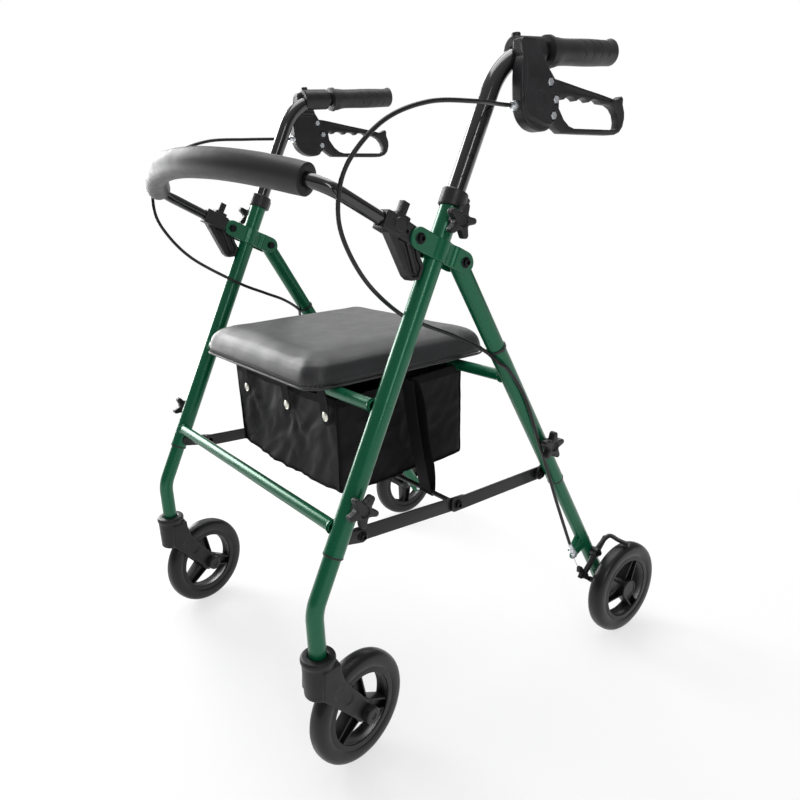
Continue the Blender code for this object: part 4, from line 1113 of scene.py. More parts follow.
def build_grips():
    start = left(HANDLE_CORNER + HANDLE_DIR * GRIP_START)
    end = left(HANDLE_CORNER + HANDLE_DIR * GRIP_END)
    up = X.cross(HANDLE_DIR)
    sides = 96
    rows = 190
    bm = bmesh.new()

    def ring(centre, share, scale):
        result = []
        for k in range(sides):
            angle = 2 * math.pi * k / sides
            size = grip_radius(share, angle) * scale
            result.append(bm.verts.new(centre + X * size * math.cos(angle) + up * size * math.sin(angle)))
        return result

    shares = [(0.0, 0.8), (0.003, 0.95)]
    shares += [(0.008 + i / rows * 0.978, 1.0) for i in range(rows + 1)]
    shares += [(0.993, 0.97), (0.998, 0.88), (1.0, 0.78)]
    rings = [ring(start.lerp(end, share), share, scale) for share, scale in shares]
    for scale, back in ((0.7, 0.0), (0.62, -0.0012), (0.2, -0.0014)):
        rings.append(ring(end + HANDLE_DIR * back, 1.0, 0.78 * scale))
    pair("grip_sleeve", [capped(bm, rings)], GRIP, "handle_{}", "grip")


HOUSING_IN = 0.259
HOUSING_OUT = 0.2765
COVER_OUT = 0.279


def build_housings():
    body = [
        (0.045, 0.868), (0.0385, 0.856), (0.0365, 0.84), (0.0372, 0.822), (0.0378, 0.806), (0.044, 0.794),
        (0.056, 0.785), (0.072, 0.7815), (0.086, 0.784), (0.0985, 0.796), (0.102, 0.81),
        (0.1, 0.833), (0.09, 0.844), (0.08, 0.858), (0.074, 0.87),
    ]
    cover = [
        (0.0445, 0.886), (0.044, 0.87), (0.0445, 0.848), (0.0415, 0.833), (0.0385, 0.812), (0.046, 0.7985),
        (0.064, 0.7935), (0.077, 0.7895), (0.088, 0.7895), (0.0985, 0.7985), (0.101, 0.812),
        (0.0995, 0.833), (0.0905, 0.844), (0.08, 0.857), (0.075, 0.872), (0.073, 0.886),
    ]
    start = left(HANDLE_CORNER + HANDLE_DIR * 0.016)
    end = left(HANDLE_CORNER + HANDLE_DIR * 0.064)
    clamp = turned([(0, 0), (0.015, 0), (0.0166, 0.0016), (0.0166, 0.0464), (0.015, 0.048), (0, 0.048)],
                   start, end - start, 64)
    neck = flat([rounded([(0.0445, 0.886), (0.073, 0.886), (0.076, 0.85), (0.044, 0.85)], 0.005)],
                TRACK + 0.004, HOUSING_OUT, 0.003)
    shells = [
        flat([rounded(body, 0.01)], HOUSING_IN, HOUSING_OUT, 0.0022),
        flat([rounded(cover, 0.008)], HOUSING_OUT - 0.004, COVER_OUT, 0.001),
        clamp,
        neck,
    ]
    bolts = [(0.0838, 0.8379), (0.0944, 0.8187), (0.0906, 0.8007)]
    tools = [tube(handle_path(0.8, 0.1), HANDLE_RADIUS + 0.0001, 0.0, 40)]
    tools.append(flat([[(0.062, 0.787), (0.14, 0.787), (0.14, 0.856), (0.062, 0.856)]],
                      LEVER_X - 0.0066, LEVER_X + 0.0066, 0.0004))
    for y, z in bolts:
        tools.append(flat([circle(y, z, 0.006)], COVER_OUT - 0.0022, COVER_OUT + 0.004, 0.0003))
    boss = (0.0675, 0.8162)
    tools.append(flat([circle(*boss, 0.0118, 48), circle(*boss, 0.0108, 48)],
                      COVER_OUT - 0.0008, COVER_OUT + 0.004, 0.0002))
    body_shell = cast(shells, 0.0006, 3, tools)
    for vertex in body_shell.verts:
        lean = min(max((vertex.co.z - 0.842) / 0.042, 0.0), 1.0)
        vertex.co.x -= 0.0115 * lean ** 1.4 * min(max((vertex.co.x - 0.254) / 0.025, 0.0), 1.0)
    pair("brake_body", [body_shell], PLASTIC, "handle_{}", "brake_housing", 60)
    heads = []
    for y, z in bolts:
        heads.append(hexagon(Vector((COVER_OUT - 0.0022, y, z)), X, 0.005, 0.0036))
        heads.append(hexagon(Vector((HOUSING_IN + 0.001, y, z)), -X, 0.005, 0.0036))
    pair("brake_body_bolts", heads, ZINC, "handle_{}")
    pin = rod(Vector((HOUSING_IN + 0.002, LEVER_PIVOT.y, LEVER_PIVOT.z)),
              Vector((HOUSING_OUT - 0.002, LEVER_PIVOT.y, LEVER_PIVOT.z)), 0.0038, 24)
    button_at = left(HANDLE_CORNER + HANDLE_DIR * 0.022) + X.cross(HANDLE_DIR) * 0.015
    button = rod(button_at, button_at + X.cross(HANDLE_DIR) * 0.005, 0.0055, 32, 0.0015)
    pair("brake_body_pin", [pin, button], PLASTIC, "handle_{}")
    ferrule_at = Vector((0.2655, 0.04, 0.8112))
    forward = Vector((0, -1, 0.02)).normalized()
    ferrule = [(0, -0.004), (0.0046, -0.004), (0.0046, 0.001), (0.0058, 0.0012), (0.0058, 0.0052),
               (0.0044, 0.0056), (0.004, 0.011), (0.0028, 0.0116), (0, 0.0116)]
    pair("cable_ferrule", [turned(ferrule, ferrule_at, forward, 12)], ZINC, "handle_{}")


def build_levers():
    """Loop levers: a closed band with finger dips under its top bar and a thumb tab."""
    outer = [
        (0.09, 0.844), (0.0995, 0.8434), (0.125, 0.8395), (0.153, 0.835), (0.19, 0.8296), (0.223, 0.824),
        (0.23, 0.8262), (0.2355, 0.829), (0.2388, 0.8262), (0.2385, 0.819), (0.2427, 0.809),
        (0.2432, 0.801),
        (0.24, 0.7905), (0.2335, 0.784), (0.223, 0.7806), (0.2139, 0.7801), (0.16, 0.7805), (0.114, 0.7812),
        (0.104, 0.787), (0.09, 0.798),
    ]
    for i in range(6):
        angle = math.radians(-80 - 36 * i)
        outer.append((LEVER_PIVOT.y + 0.013 * math.cos(angle), LEVER_PIVOT.z + 0.013 * math.sin(angle)))
    inner = [(0.1088, 0.81), (0.1072, 0.82), (0.11, 0.8255)]
    dips = 3
    for i in range(dips * 6 + 1):
        t = i / (dips * 6)
        wave = abs(math.sin(math.pi * dips * t)) ** 0.7
        inner.append((0.118 + 0.074 * t, 0.8205 - 0.002 * t + 0.0042 * wave))
    inner += [(0.21, 0.8175), (0.2205, 0.813), (0.228, 0.8055), (0.231, 0.7965), (0.23, 0.7895),
              (0.227, 0.7868), (0.1393, 0.7872), (0.129, 0.79), (0.119, 0.797)]
    band = flat([outer, inner], LEVER_X - 0.006, LEVER_X + 0.006, 0.0011)
    dents = []
    for side in (-1, 1):
        low, high = sorted((side * 0.0046, side * 0.01))
        strip = [(0.116, 0.8385), (0.153, 0.833), (0.19, 0.8276), (0.215, 0.8236), (0.215, 0.8205),
                 (0.19, 0.8225), (0.153, 0.8265), (0.116, 0.829)]
        dents.append(flat([strip], LEVER_X + low, LEVER_X + high, 0.0004))
    pair("brake_loop", [cut([band], dents)], PLASTIC, "lever_{}", "brake_lever", 30)


def build_brake_arms():
    """Black wire-like brake cages: a bar over the tyre, a shank and a cable clamp."""
    x = SHOE_PIVOT.x
    pivot = Vector((x, SHOE_PIVOT.y, SHOE_PIVOT.z))
    corner = Vector((x + 0.002, 0.27, 0.161))
    shoe_end = Vector((0.303, 0.2745, 0.1578))
    tail = Vector((x, 0.213, 0.1095))
    foot = Vector((TRACK + 0.014, 0.236, 0.0905))
    upper = tube(
        smooth_path([tail, pivot.lerp(tail, 0.5), pivot, pivot.lerp(corner, 0.75) + Vector((0, 0, 0.001)),
                     corner + Vector((0.004, 0.0015, 0.0006)), corner.lerp(shoe_end, 0.5), shoe_end], 8),
        0.0036, 0.0, 24)
    flat_bar = flat([capsule(tail, pivot.lerp(corner, 0.8), 0.0058, 0.005)], x - 0.0022, x + 0.0018, 0.0006)
    collar = rod(pivot - X * 0.006, pivot + X * 0.0072, 0.0072, 32, 0.0008)
    clamp_jaws = [
        flat([rounded([(0.1985, 0.129), (0.2045, 0.1285), (0.215, 0.113), (0.2085, 0.105), (0.201, 0.108),
                       (0.206, 0.1165), (0.198, 0.1195)], 0.0015)], x - 0.0034, x + 0.003, 0.0006),
        flat([capsule(tail + Vector((0, 0.002, -0.004)), foot, 0.0036)], x - 0.007, x - 0.003, 0.0006),
        rod(tail + Vector((-0.005, 0, 0)), tail + Vector((0.0062, 0, 0)), 0.0056, 6, 0.0006),
        rod(foot - X * 0.004, foot + X * 0.004, 0.0045, 24, 0.0006),
    ]
    pair("brake_cage", [upper, flat_bar, collar] + clamp_jaws, SATIN, "brake_arm_{}",
         "brake_arm", 40)
    nut = [hexagon(pivot + X * 0.0072, X, 0.005, 0.0034)]
    pair("brake_cage_nut", nut, BOLT, "brake_arm_{}")
    barrel_at = Vector((TRACK + 0.0066, 0.1925, 0.156))
    up = Vector((0, -0.4, 0.92)).normalized()
    barrel = [(0, -0.004), (0.0056, -0.004), (0.0056, 0.0), (0.0044, 0.0004), (0.0042, 0.008),
              (0.0034, 0.0086), (0.003, 0.016), (0.0024, 0.0168), (0, 0.0168)]
    fittings = [
        turned(barrel, barrel_at, up, 20),
        turned([(0, 0), (0.0062, 0), (0.0062, 0.0016), (0.0034, 0.0018), (0.0034, 0.004), (0, 0.004)],
               Vector((TRACK + 0.0082, CABLE_LUG.y, CABLE_LUG.z)), X, 24),
    ]
    wire_path = smooth_path([barrel_at - up * 0.003, Vector((TRACK + 0.009, 0.1965, 0.14)),
                             Vector((x - 0.001, 0.202, 0.1235))], 6)
    fittings.append(tube(wire_path, 0.0008, 0.0, 8))
    pair("cable_adjuster", fittings, ZINC, "rear")


def cable_knots():
    """Run of the left brake cable, from the brake body to the adjuster on the rear leg."""
    return [
        (0.2655, 0.029, 0.8115), (0.269, 0.01, 0.8115), (0.283, -0.045, 0.8113), (0.286, -0.114, 0.808),
        (0.282, -0.17, 0.789), (0.277, -0.212, 0.75), (0.272, -0.2239, 0.71), (0.266, -0.2149, 0.6717),
        (0.253, -0.179, 0.624), (0.225, -0.115, 0.579), (0.22, -0.07, 0.557), (0.226, -0.03, 0.539),
        (0.243, 0.007, 0.516), (0.258, 0.019, 0.5), (0.263, 0.0359, 0.485), (0.2635, 0.068, 0.438),
        (0.2632, 0.0985, 0.364), (0.259, 0.119, 0.325), (0.256, 0.1467, 0.261), (0.2546, 0.185, 0.173),
    ]


def build_cables():
    """Brake cables in two lengths: one follows the handle, the other the rear leg."""
    path = smooth_path(cable_knots(), 12)
    split = 12 * 9
    for side, sign in SIDES:
        upper = tube(path[:split + 1], 0.0025, 0.0, 16)
        lower = tube(path[split:], 0.0025, 0.0, 16)
        if sign < 0:
            upper, lower = flipped(upper), flipped(lower)
        top = piece(f"cable_upper_{side}", [upper], CABLE, None, [f"brake_cable_{side}"])
        bottom = piece(f"cable_lower_{side}", [lower], CABLE, None)
        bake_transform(top)
        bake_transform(bottom)
    band = [(0.0122, -0.0016), (0.0136, -0.0016), (0.0136, 0.0016), (0.0122, 0.0016)]
    tie = turned(band, left(on_rear(0.136)), REAR_DIR, 40)
    head = flat([rounded([(0.0225, 0.5125), (0.0225, 0.519), (0.0285, 0.519), (0.0285, 0.5125)], 0.0012)],
                TRACK + 0.006, TRACK + 0.0122, 0.0006)
    pair("cable_tie", [tie, head], PLASTIC, "rear")


# ---------------------------------------------------------------- back bar

BACK_SLOPE = math.radians(29.1)
BACK_DIR = Vector((0, -math.cos(BACK_SLOPE), math.sin(BACK_SLOPE)))
BACK_UP = Vector((0, math.sin(BACK_SLOPE), math.cos(BACK_SLOPE)))
BAR_X = 0.2447
BAR_BEND = 0.04
BAR_TURN = math.radians(62.3)
BAR_RADIUS = 0.008
PAD_RADIUS = 0.0182


def back_path():
    """Axis of the back bar from its left socket round the front to its right one."""
    steps = 14
    leg_end = 0.103
    corner_x = BAR_X - BAR_BEND * (1 - math.cos(BAR_TURN))
    corner_v = leg_end + BAR_BEND * math.sin(BAR_TURN)
    bow_half = math.pi / 2 - BAR_TURN
    bow_radius = corner_x / math.sin(bow_half)
    plan = [(BAR_X, 0.022), (BAR_X, 0.05), (BAR_X, 0.08)]
    for i in range(steps + 1):
        angle = BAR_TURN * i / steps
        plan.append((BAR_X - BAR_BEND * (1 - math.cos(angle)), leg_end + BAR_BEND * math.sin(angle)))
    for i in range(1, steps + 1):
        angle = bow_half * (1 - i / steps)
        plan.append((bow_radius * math.sin(angle),
                     corner_v + bow_radius * (math.cos(angle) - math.cos(bow_half))))
    half = [BACK + X * x + BACK_DIR * v for x, v in plan]
    other = [Vector((-p.x, p.y, p.z)) for p in reversed(half[:-1])]
    return half + other, 3 + steps


def pad_shell(path):
    """Foam sleeve with softly rounded ends and a slight give along its length."""
    def size(share):
        ends = min(share, 1 - share)
        give = 0.00025 * noise.noise(Vector((share * 14, 0.3, 0.7)))
        return PAD_RADIUS - 0.0006 * max(0.0, 1 - ends / 0.003) ** 2 + give
    return tube(path, size, BAR_RADIUS + 0.0002, 72)


def build_back():
    path, corner = back_path()
    bar = tube(path, BAR_RADIUS, 0.0068, 48)
    piece("back_bar", [bar], GLOSS, "backrest", ["backrest_tube"])
    padded = path[corner:-corner]
    piece("back_pad", [pad_shell(padded)], FOAM, "backrest", ["backrest_pad"])
    cap = [(BAR_RADIUS + 0.0003, -0.001), (PAD_RADIUS - 0.0009, -0.001), (PAD_RADIUS - 0.0009, 0.0002),
           (PAD_RADIUS - 0.0014, 0.0005), (BAR_RADIUS + 0.0012, 0.0005), (BAR_RADIUS + 0.0003, 0.0001)]
    caps = [turned(cap, end, end - inward, 56)
            for end, inward in ((padded[0], padded[1]), (padded[-1], padded[-2]))]
    piece("back_pad_ends", caps, FOAM_END, "backrest")


def local(v, w):
    """A point by its distances along and above the back bar's slope, as (y, z)."""
    point = BACK + BACK_DIR * v + BACK_UP * w
    return (point.y, point.z)


def build_back_brackets():
    ear = [local(0.0105 * math.cos(a), 0.0105 * math.sin(a))
           for a in [math.pi * (0.5 + i / 10) for i in range(11)]]
    ear += [local(0.026, -0.0112), local(0.026, 0.0112)]
    shells = [flat([ear], TRACK - 0.0092, TRACK + 0.0092, 0.0012)]
    socket = [local(0.012, -0.0115), local(0.012, 0.0115), local(0.05, 0.0115), local(0.05, -0.0115)]
    shells.append(flat([rounded(socket, 0.002)], BAR_X - 0.0114, BAR_X + 0.0114, 0.0026, 3))
    tower = [local(0.017, 0.006), local(0.017, 0.016), local(0.037, 0.016), local(0.037, 0.006)]
    shells.append(flat([rounded(tower, 0.0015)], BAR_X - 0.0095, BAR_X + 0.0095, 0.0014))
    boss_at = BACK + BACK_DIR * 0.03 + BACK_UP * 0.002
    shells.append(rod(boss_at + X * 0.25, boss_at + X * 0.259, 0.0085, 48, 0.001))
    stop = [(-0.15, 0.679), (-0.125, 0.626), (-0.119, 0.6205), (-0.1068, 0.6205), (-0.0995, 0.635),
            (-0.104, 0.644), (-0.1075, 0.66), (-0.13, 0.675)]
    rib_front = [(-0.15, 0.679), (-0.125, 0.626), (-0.119, 0.6205), (-0.115, 0.6215), (-0.1205, 0.63),
                 (-0.14, 0.678)]
    rib_rear = [(-0.119, 0.6205), (-0.1068, 0.6205), (-0.0995, 0.635), (-0.104, 0.644), (-0.1085, 0.664),
                (-0.1135, 0.664), (-0.109, 0.644), (-0.1045, 0.635), (-0.109, 0.625), (-0.118, 0.625)]
    rib_mid = [(-0.127, 0.672), (-0.115, 0.629), (-0.1115, 0.629), (-0.121, 0.672)]
    shells.append(flat([stop], TRACK - 0.003, TRACK + 0.003, 0.0006))
    for rib in (rib_front, rib_rear, rib_mid):
        shells.append(flat([rib], TRACK - 0.0074, TRACK + 0.0074, 0.0008))
    hole_at = BACK + BACK_DIR * 0.0175
    tools = [
        rod(BACK + BACK_DIR * 0.038 + X * BAR_X, BACK + BACK_DIR * 0.06 + X * BAR_X,
            BAR_RADIUS + 0.0004, 40),
        rod(hole_at + X * 0.252, hole_at + X * 0.262, 0.002, 20),
        flat([[local(0.0222, 0.0095), local(0.0222, 0.02), local(0.0318, 0.02), local(0.0318, 0.0095)]],
             BAR_X - 0.0049, BAR_X + 0.0049, 0.0002),
    ]
    pair("back_bracket", [cast(shells, 0.0006, 3, tools)], PLASTIC, "backrest",
         "backrest_bracket", 60)
    post = [local(0.0222, 0.013), local(0.0222, 0.031), local(0.0318, 0.031), local(0.0318, 0.013)]
    button = [flat([rounded(post, 0.001)], BAR_X - 0.0048, BAR_X + 0.0048, 0.0008)]
    pair("back_button", button, PLASTIC, "release_button_{}", "release_button")


# ---------------------------------------------------------------- seat

SEAT_X = 0.166
SEAT_FRONT = -0.213
SEAT_BACK = 0.097
SEAT_CORNER = 0.029
BOARD_LOW, BOARD_HIGH = 0.4856, 0.4896
PAD_LOW = 0.4856
PAD_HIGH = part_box("seat_pad")[1].z


def rounded_rectangle(half_x, low_y, high_y, corner, steps=10, straight=14):
    """Outline in (x, y) with round corners and points along its straight sides."""
    corners = (
        (half_x - corner, high_y - corner, 0),
        (-half_x + corner, high_y - corner, 90),
        (-half_x + corner, low_y + corner, 180),
        (half_x - corner, low_y + corner, 270),
    )
    outline = []
    for index, (cx, cy, start) in enumerate(corners):
        for i in range(steps + 1):
            angle = math.radians(start + 90 * i / steps)
            outline.append((cx + corner * math.cos(angle), cy + corner * math.sin(angle)))
        nx, ny, nstart = corners[(index + 1) % 4]
        angle = math.radians(nstart)
        target = (nx + corner * math.cos(angle), ny + corner * math.sin(angle))
        here = outline[-1]
        for i in range(1, straight):
            t = i / straight
            outline.append((here[0] + (target[0] - here[0]) * t, here[1] + (target[1] - here[1]) * t))
    return outline


def seat_outline(inset):
    return rounded_rectangle(SEAT_X - inset, SEAT_FRONT + inset, SEAT_BACK - inset,
                             SEAT_CORNER - inset * 0.4)


def seat_form():
    """Unswollen cushion: upright sides that round over into a low crown."""
    centre_y = (SEAT_FRONT + SEAT_BACK) / 2
    levels = [(0.003, 0.0), (0.0014, 0.1), (0.0008, 0.25), (0.0012, 0.4), (0.0028, 0.56), (0.0062, 0.7),
              (0.012, 0.81), (0.021, 0.88), (0.034, 0.925)]
    bm = bmesh.new()
    rings = []
    height = PAD_HIGH - PAD_LOW
    for inset, share in levels:
        rings.append([bm.verts.new((x, y, PAD_LOW + height * share)) for x, y in seat_outline(inset)])
    base = [(x, y) for x, y in seat_outline(0.034)]
    for k in range(1, 9):
        scale = 1 - k / 9
        rise = 0.925 + 0.06 * (1 - scale ** 2)
        rings.append([bm.verts.new((x * scale, centre_y + (y - centre_y) * scale, PAD_LOW + height * rise))
                      for x, y in base])
    return capped(bm, rings)


SWELL_STEPS = 20        # frames of cloth simulation
SWELL_EASING = 14       # rounds that ease its creases out


def inflate(obj, pinned_below, limit):
    """Swell a closed cushion by cloth pressure, underside held, with its creases eased out."""
    group = obj.vertex_groups.new(name="held")
    group.add([v.index for v in obj.data.vertices if v.co.z < pinned_below], 1.0, "REPLACE")
    rest = [v.co.copy() for v in obj.data.vertices]
    cloth = obj.modifiers.new("swell", "CLOTH")
    cloth.settings.use_pressure = True
    cloth.settings.uniform_pressure_force = 4.0
    cloth.settings.tension_stiffness = 18.0
    cloth.settings.compression_stiffness = 18.0
    cloth.settings.vertex_group_mass = "held"
    cloth.settings.effector_weights.gravity = 0.0
    cloth.point_cache.frame_start = 1
    cloth.point_cache.frame_end = SWELL_STEPS
    scene = bpy.context.scene
    for step in range(1, SWELL_STEPS + 1):
        scene.frame_set(step)
    bake(obj)
    scene.frame_set(1)
    shifts = []
    for vertex, start in zip(obj.data.vertices, rest):
        shift = vertex.co - start
        shifts.append(shift * min(1.0, limit / max(shift.length, 1e-9)))
    near = [[] for _ in rest]
    for edge in obj.data.edges:
        a, b = edge.vertices
        near[a].append(b)
        near[b].append(a)
    for _ in range(SWELL_EASING):
        shifts = [shifts[i] * 0.5 + sum((shifts[k] for k in around), Vector()) * (0.5 / len(around))
                  for i, around in enumerate(near)]
    for vertex, start, shift in zip(obj.data.vertices, rest, shifts):
        vertex.co = start + shift


def corner_share(x, y):
    """Nearness to a corner of the seat's outline, from 0 to 1, and the turn there."""
    centre_y = (SEAT_FRONT + SEAT_BACK) / 2
    dx = abs(x) - (SEAT_X - SEAT_CORNER)
    dy = abs(y - centre_y) - ((SEAT_BACK - SEAT_FRONT) / 2 - SEAT_CORNER)
    if dx <= 0 or dy <= 0:
        return 0.0, 0.0
    turn = math.atan2(dy, dx)
    return math.sin(2 * turn), turn


def build_seat():
    cushion = to_object([seat_form()], "cushion_form")
    fuse(cushion, 0.005)
    inflate(cushion, PAD_LOW + 0.004, 0.0035)
    subdivide = cushion.modifiers.new("finer", "SUBSURF")
    subdivide.levels = 2
    subdivide.render_levels = 2
    bake(cushion)
    soften(cushion, 6)
    for vertex in cushion.data.vertices:
        co = vertex.co
        share, turn = corner_share(co.x, co.y)
        low = max(0.0, 1 - abs(co.z - PAD_LOW - 0.004) / 0.014)
        outward = Vector((co.x, co.y - (SEAT_FRONT + SEAT_BACK) / 2, 0)).normalized()
        pleat = 0.00045 * share * low * math.cos(26 * turn)
        sag = 0.0004 * noise.noise(co * 26)
        vertex.co = co + outward * (pleat + sag * 0.6) + Z * sag * (1 if co.z > PAD_LOW + 0.02 else 0)
        groove = math.exp(-((co.z - PAD_LOW - 0.0062) / 0.0011) ** 2)
        vertex.co -= outward * 0.0006 * groove
        vertex.co.z = min(max(vertex.co.z, PAD_LOW), PAD_HIGH + 0.002)
    piece("seat_cushion", [to_bmesh(cushion)], VINYL, "seat", ["seat_pad"], 60)

    hem = [Vector((x, y, PAD_LOW + 0.0015)) for x, y in seat_outline(0.0016)]
    hem.append(hem[0].copy())
    piece("seat_hem", [tube(hem, 0.0016, 0.0, 10)], VINYL, "seat")
    stitches = []
    loop = [Vector((x, y, PAD_LOW + 0.0066)) for x, y in rounded_rectangle(
        SEAT_X - 0.0006, SEAT_FRONT + 0.0006, SEAT_BACK - 0.0006, SEAT_CORNER, 24, 60)]
    lengths = [0.0]
    closed = loop + [loop[0]]
    for a, b in zip(closed, closed[1:]):
        lengths.append(lengths[-1] + (b - a).length)
    pitch = 0.0048
    count = int(lengths[-1] / pitch)
    segment = 0
    for i in range(count):
        along = lengths[-1] * i / count
        while lengths[segment + 1] < along:
            segment += 1
        a, b = closed[segment], closed[segment + 1]
        centre = a.lerp(b, (along - lengths[segment]) / (lengths[segment + 1] - lengths[segment]))
        heading = (b - a).normalized() * pitch * 0.34
        stitches.append(rod(centre - heading, centre + heading, 0.00045, 6, 0.0002))
    piece("seat_stitching", stitches, THREAD, "seat")

    shells = [flat([seat_outline(0.006)], BOARD_LOW - 0.0004, BOARD_HIGH, 0.001, 2, Matrix.Identity(4))]
    bore = CROSS_RADIUS + 0.0004
    clip = [(bore, -0.01), (0.0115, -0.01), (0.0118, -0.009), (0.0118, 0.009), (0.0115, 0.01), (bore, 0.01)]
    front, rear = REAR_CROSS.y - 0.009, REAR_CROSS.y + 0.009
    foot, root = REAR_CROSS.z + CROSS_RADIUS + 0.0004, BOARD_LOW + 0.001
    block = rounded([(front, foot), (rear, foot), (rear, root), (front, root)], 0.001)
    for x in (-0.07, 0.07):
        shells.append(turned(clip, SEAT_TUBE + X * x, X, 40))
        shells.append(flat([block], x - 0.01, x + 0.01, 0.0005))
    piece("seat_base", shells, PLASTIC, "seat", ["seat_board"])


# ---------------------------------------------------------------- basket

BASKET_X = 0.15
BASKET_FRONT = -0.167
BASKET_BACK = 0.053
BASKET_TOP = 0.462
BASKET_LOW = 0.336
BASKET_CORNER = 0.007
SNAPS = ((-0.105, 0.4307), (0.0235, 0.4306), (0.129, 0.438))


def basket_loop():
    return rounded_rectangle(BASKET_X, BASKET_FRONT, BASKET_BACK, BASKET_CORNER, 4, 48)


def pulled_folds(x, z):
    """Folds that fan out below the press studs, where the cloth hangs from them."""
    push = 0.0
    for snap_x, snap_z in SNAPS:
        reach = math.hypot(x - snap_x, z - snap_z)
        angle = math.atan2(x - snap_x, snap_z - z)
        fade = math.exp(-((reach - 0.034) / 0.026) ** 2)
        push += 0.0024 * math.cos(6.5 * angle + 40 * snap_x) * fade * max(0.0, math.cos(angle))
    return push


def basket_point(x, y, depth):
    """A point of the basket's wall: depth 0 is its top edge and 1 its bottom edge."""
    centre_y = (BASKET_FRONT + BASKET_BACK) / 2
    half_y = (BASKET_BACK - BASKET_FRONT) / 2
    on_side = abs(x) >= BASKET_X - BASKET_CORNER * 0.5
    u = (y - centre_y) / half_y if on_side else x / BASKET_X
    away = max(0.0, 1 - u * u)
    outward = X * math.copysign(1, x) if on_side else Y * math.copysign(1, y - centre_y)
    seed = 3.1 if on_side else 0.0
    fold = noise.noise(Vector((x * 17 + depth * 1.9, y * 17 - depth * 1.3, depth * 2.2 + seed)))
    crease = noise.noise(Vector((x * 38 + depth * 4.5, y * 38 + depth * 3.0, seed + 5.0)))
    ripple = 0.0062 * fold + 0.0034 * (1 - 2 * abs(crease))
    bowing = -0.0035 * away * math.sin(math.pi * min(depth, 1.0)) - 0.0012 * away
    taper = -0.0045 * depth
    sag = 0.008 if y < centre_y and not on_side else 0.0035
    z = BASKET_TOP + (BASKET_LOW - BASKET_TOP) * depth
    z -= sag * away * depth ** 2
    z -= 0.003 * depth * (1 if y < centre_y else -0.4)
    rear_lift = min(max((y - BASKET_FRONT - 0.02) / 0.18, 0.0), 1.0)
    z += 0.009 * rear_lift * (1 - depth) ** 2
    if not on_side and y < centre_y:
        z -= 0.0035 * (1 - depth) ** 3 * (1 - abs(math.cos(math.pi * (x + 0.105) / 0.117))) * 0.8
        ripple += pulled_folds(x, z)
    strength = away ** 0.5 * (0.25 + 0.75 * min(1.0, depth * 2.5))
    return Vector((x, y, z)) + outward * (ripple * strength + bowing + taper)


def basket_walls(low, high, rows, offset):
    """Grid of wall points between two depths, pushed outwards by offset."""
    centre_y = (BASKET_FRONT + BASKET_BACK) / 2
    rows_of_points = []
    loop = basket_loop()
    for j in range(rows + 1):
        depth = low + (high - low) * j / rows
        row = []
        for x, y in loop:
            point = basket_point(x, y, depth)
            outward = Vector((x, (y - centre_y) * 1.2, 0)).normalized()
            row.append(point + outward * offset)
        rows_of_points.append(row)
    return rows_of_points


def flatten_with_fold(obj):
    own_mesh(obj)


def build_basket():
    thickness = 0.0011
    centre = Vector((0, (BASKET_FRONT + BASKET_BACK) / 2, 0))
    outside = basket_walls(0.0, 1.0, 44, 0.0)
    inside = basket_walls(0.0, 1.0, 44, -thickness)
    floor_rows = 18

    def floor_ring(edge, k, lift):
        scale = 1 - k / floor_rows
        ring = []
        for point in edge:
            x = point.x * scale
            y = centre.y + (point.y - centre.y) * scale
            depth = 1 - scale ** 2
            z = point.z * scale + (BASKET_LOW - 0.004) * (1 - scale) - 0.0045 * depth
            z += 0.0022 * noise.noise(Vector((x * 22, y * 22, 9.0))) * min(1.0, k / 4)
            ring.append(Vector((x, y, z + lift)))
        return ring

    rows = [floor_ring(inside[-1], k, thickness) for k in reversed(range(1, floor_rows))]
    rows += list(reversed(inside)) + outside
    rows += [floor_ring(outside[-1], k, 0.0) for k in range(1, floor_rows)]
    bm = bmesh.new()
    rings = [[bm.verts.new(p) for p in row] for row in rows]
    basket = piece("basket_cloth", [capped(bm, rings)], NYLON, "frame", ["basket"], 70)
    flatten_with_fold(basket)

    rows = basket_walls(-0.015, 0.075, 4, 0.0012)
    rows += reversed(basket_walls(-0.015, 0.075, 4, -thickness - 0.0006))
    bm = bmesh.new()
    rings = [[bm.verts.new(p) for p in row] for row in rows]
    skin(bm, rings + [rings[0]])
    hem = piece("basket_hem", [tidy(bm)], WEBBING, "frame", (), 50)
    flatten_with_fold(hem)

    seams = []
    bottom = basket_walls(1.0, 1.0, 1, 0.0006)[0]
    seams.append(tube(bottom + [bottom[0]], 0.0015, 0.0, 8))
    inset = BASKET_CORNER * 0.3
    for x in (BASKET_X - inset, -BASKET_X + inset):
        for y in (BASKET_FRONT + inset, BASKET_BACK - inset):
            path = [basket_point(x, y, k / 30) for k in range(31)]
            outward = Vector((x, (y - centre.y) * 1.3, 0)).normalized() * 0.0006
            seams.append(tube([p + outward for p in path], 0.0015, 0.0, 8))
    flatten_with_fold(piece("basket_piping", seams, WEBBING, "frame"))


def strip_shell(path, centre_x, half_width, thickness):
    """Flat strap along a (y, z) path with a rounded first end."""
    end_round = 0.008
    bm = bmesh.new()
    rings = []
    travelled = 0.0
    for i, (y, z) in enumerate(path):
        a = path[max(i - 1, 0)]
        b = path[min(i + 1, len(path) - 1)]
        if i:
            travelled += math.hypot(y - path[i - 1][0], z - path[i - 1][1])
        heading = Vector((0, b[0] - a[0], b[1] - a[1])).normalized()
        normal = Vector((0, -heading.z, heading.y)) * thickness / 2
        narrow = min(1.0, 0.35 + 0.65 * math.sqrt(min(travelled / end_round, 1.0)))
        half = half_width * narrow
        row = []
        for u, side in ((-1, -1), (-0.9, -1), (0.9, -1), (1, -1), (1, 1), (0.9, 1), (-0.9, 1), (-1, 1)):
            row.append(bm.verts.new(Vector((centre_x + half * u, y, z)) + normal * side))
        rings.append(row)
    return capped(bm, rings)


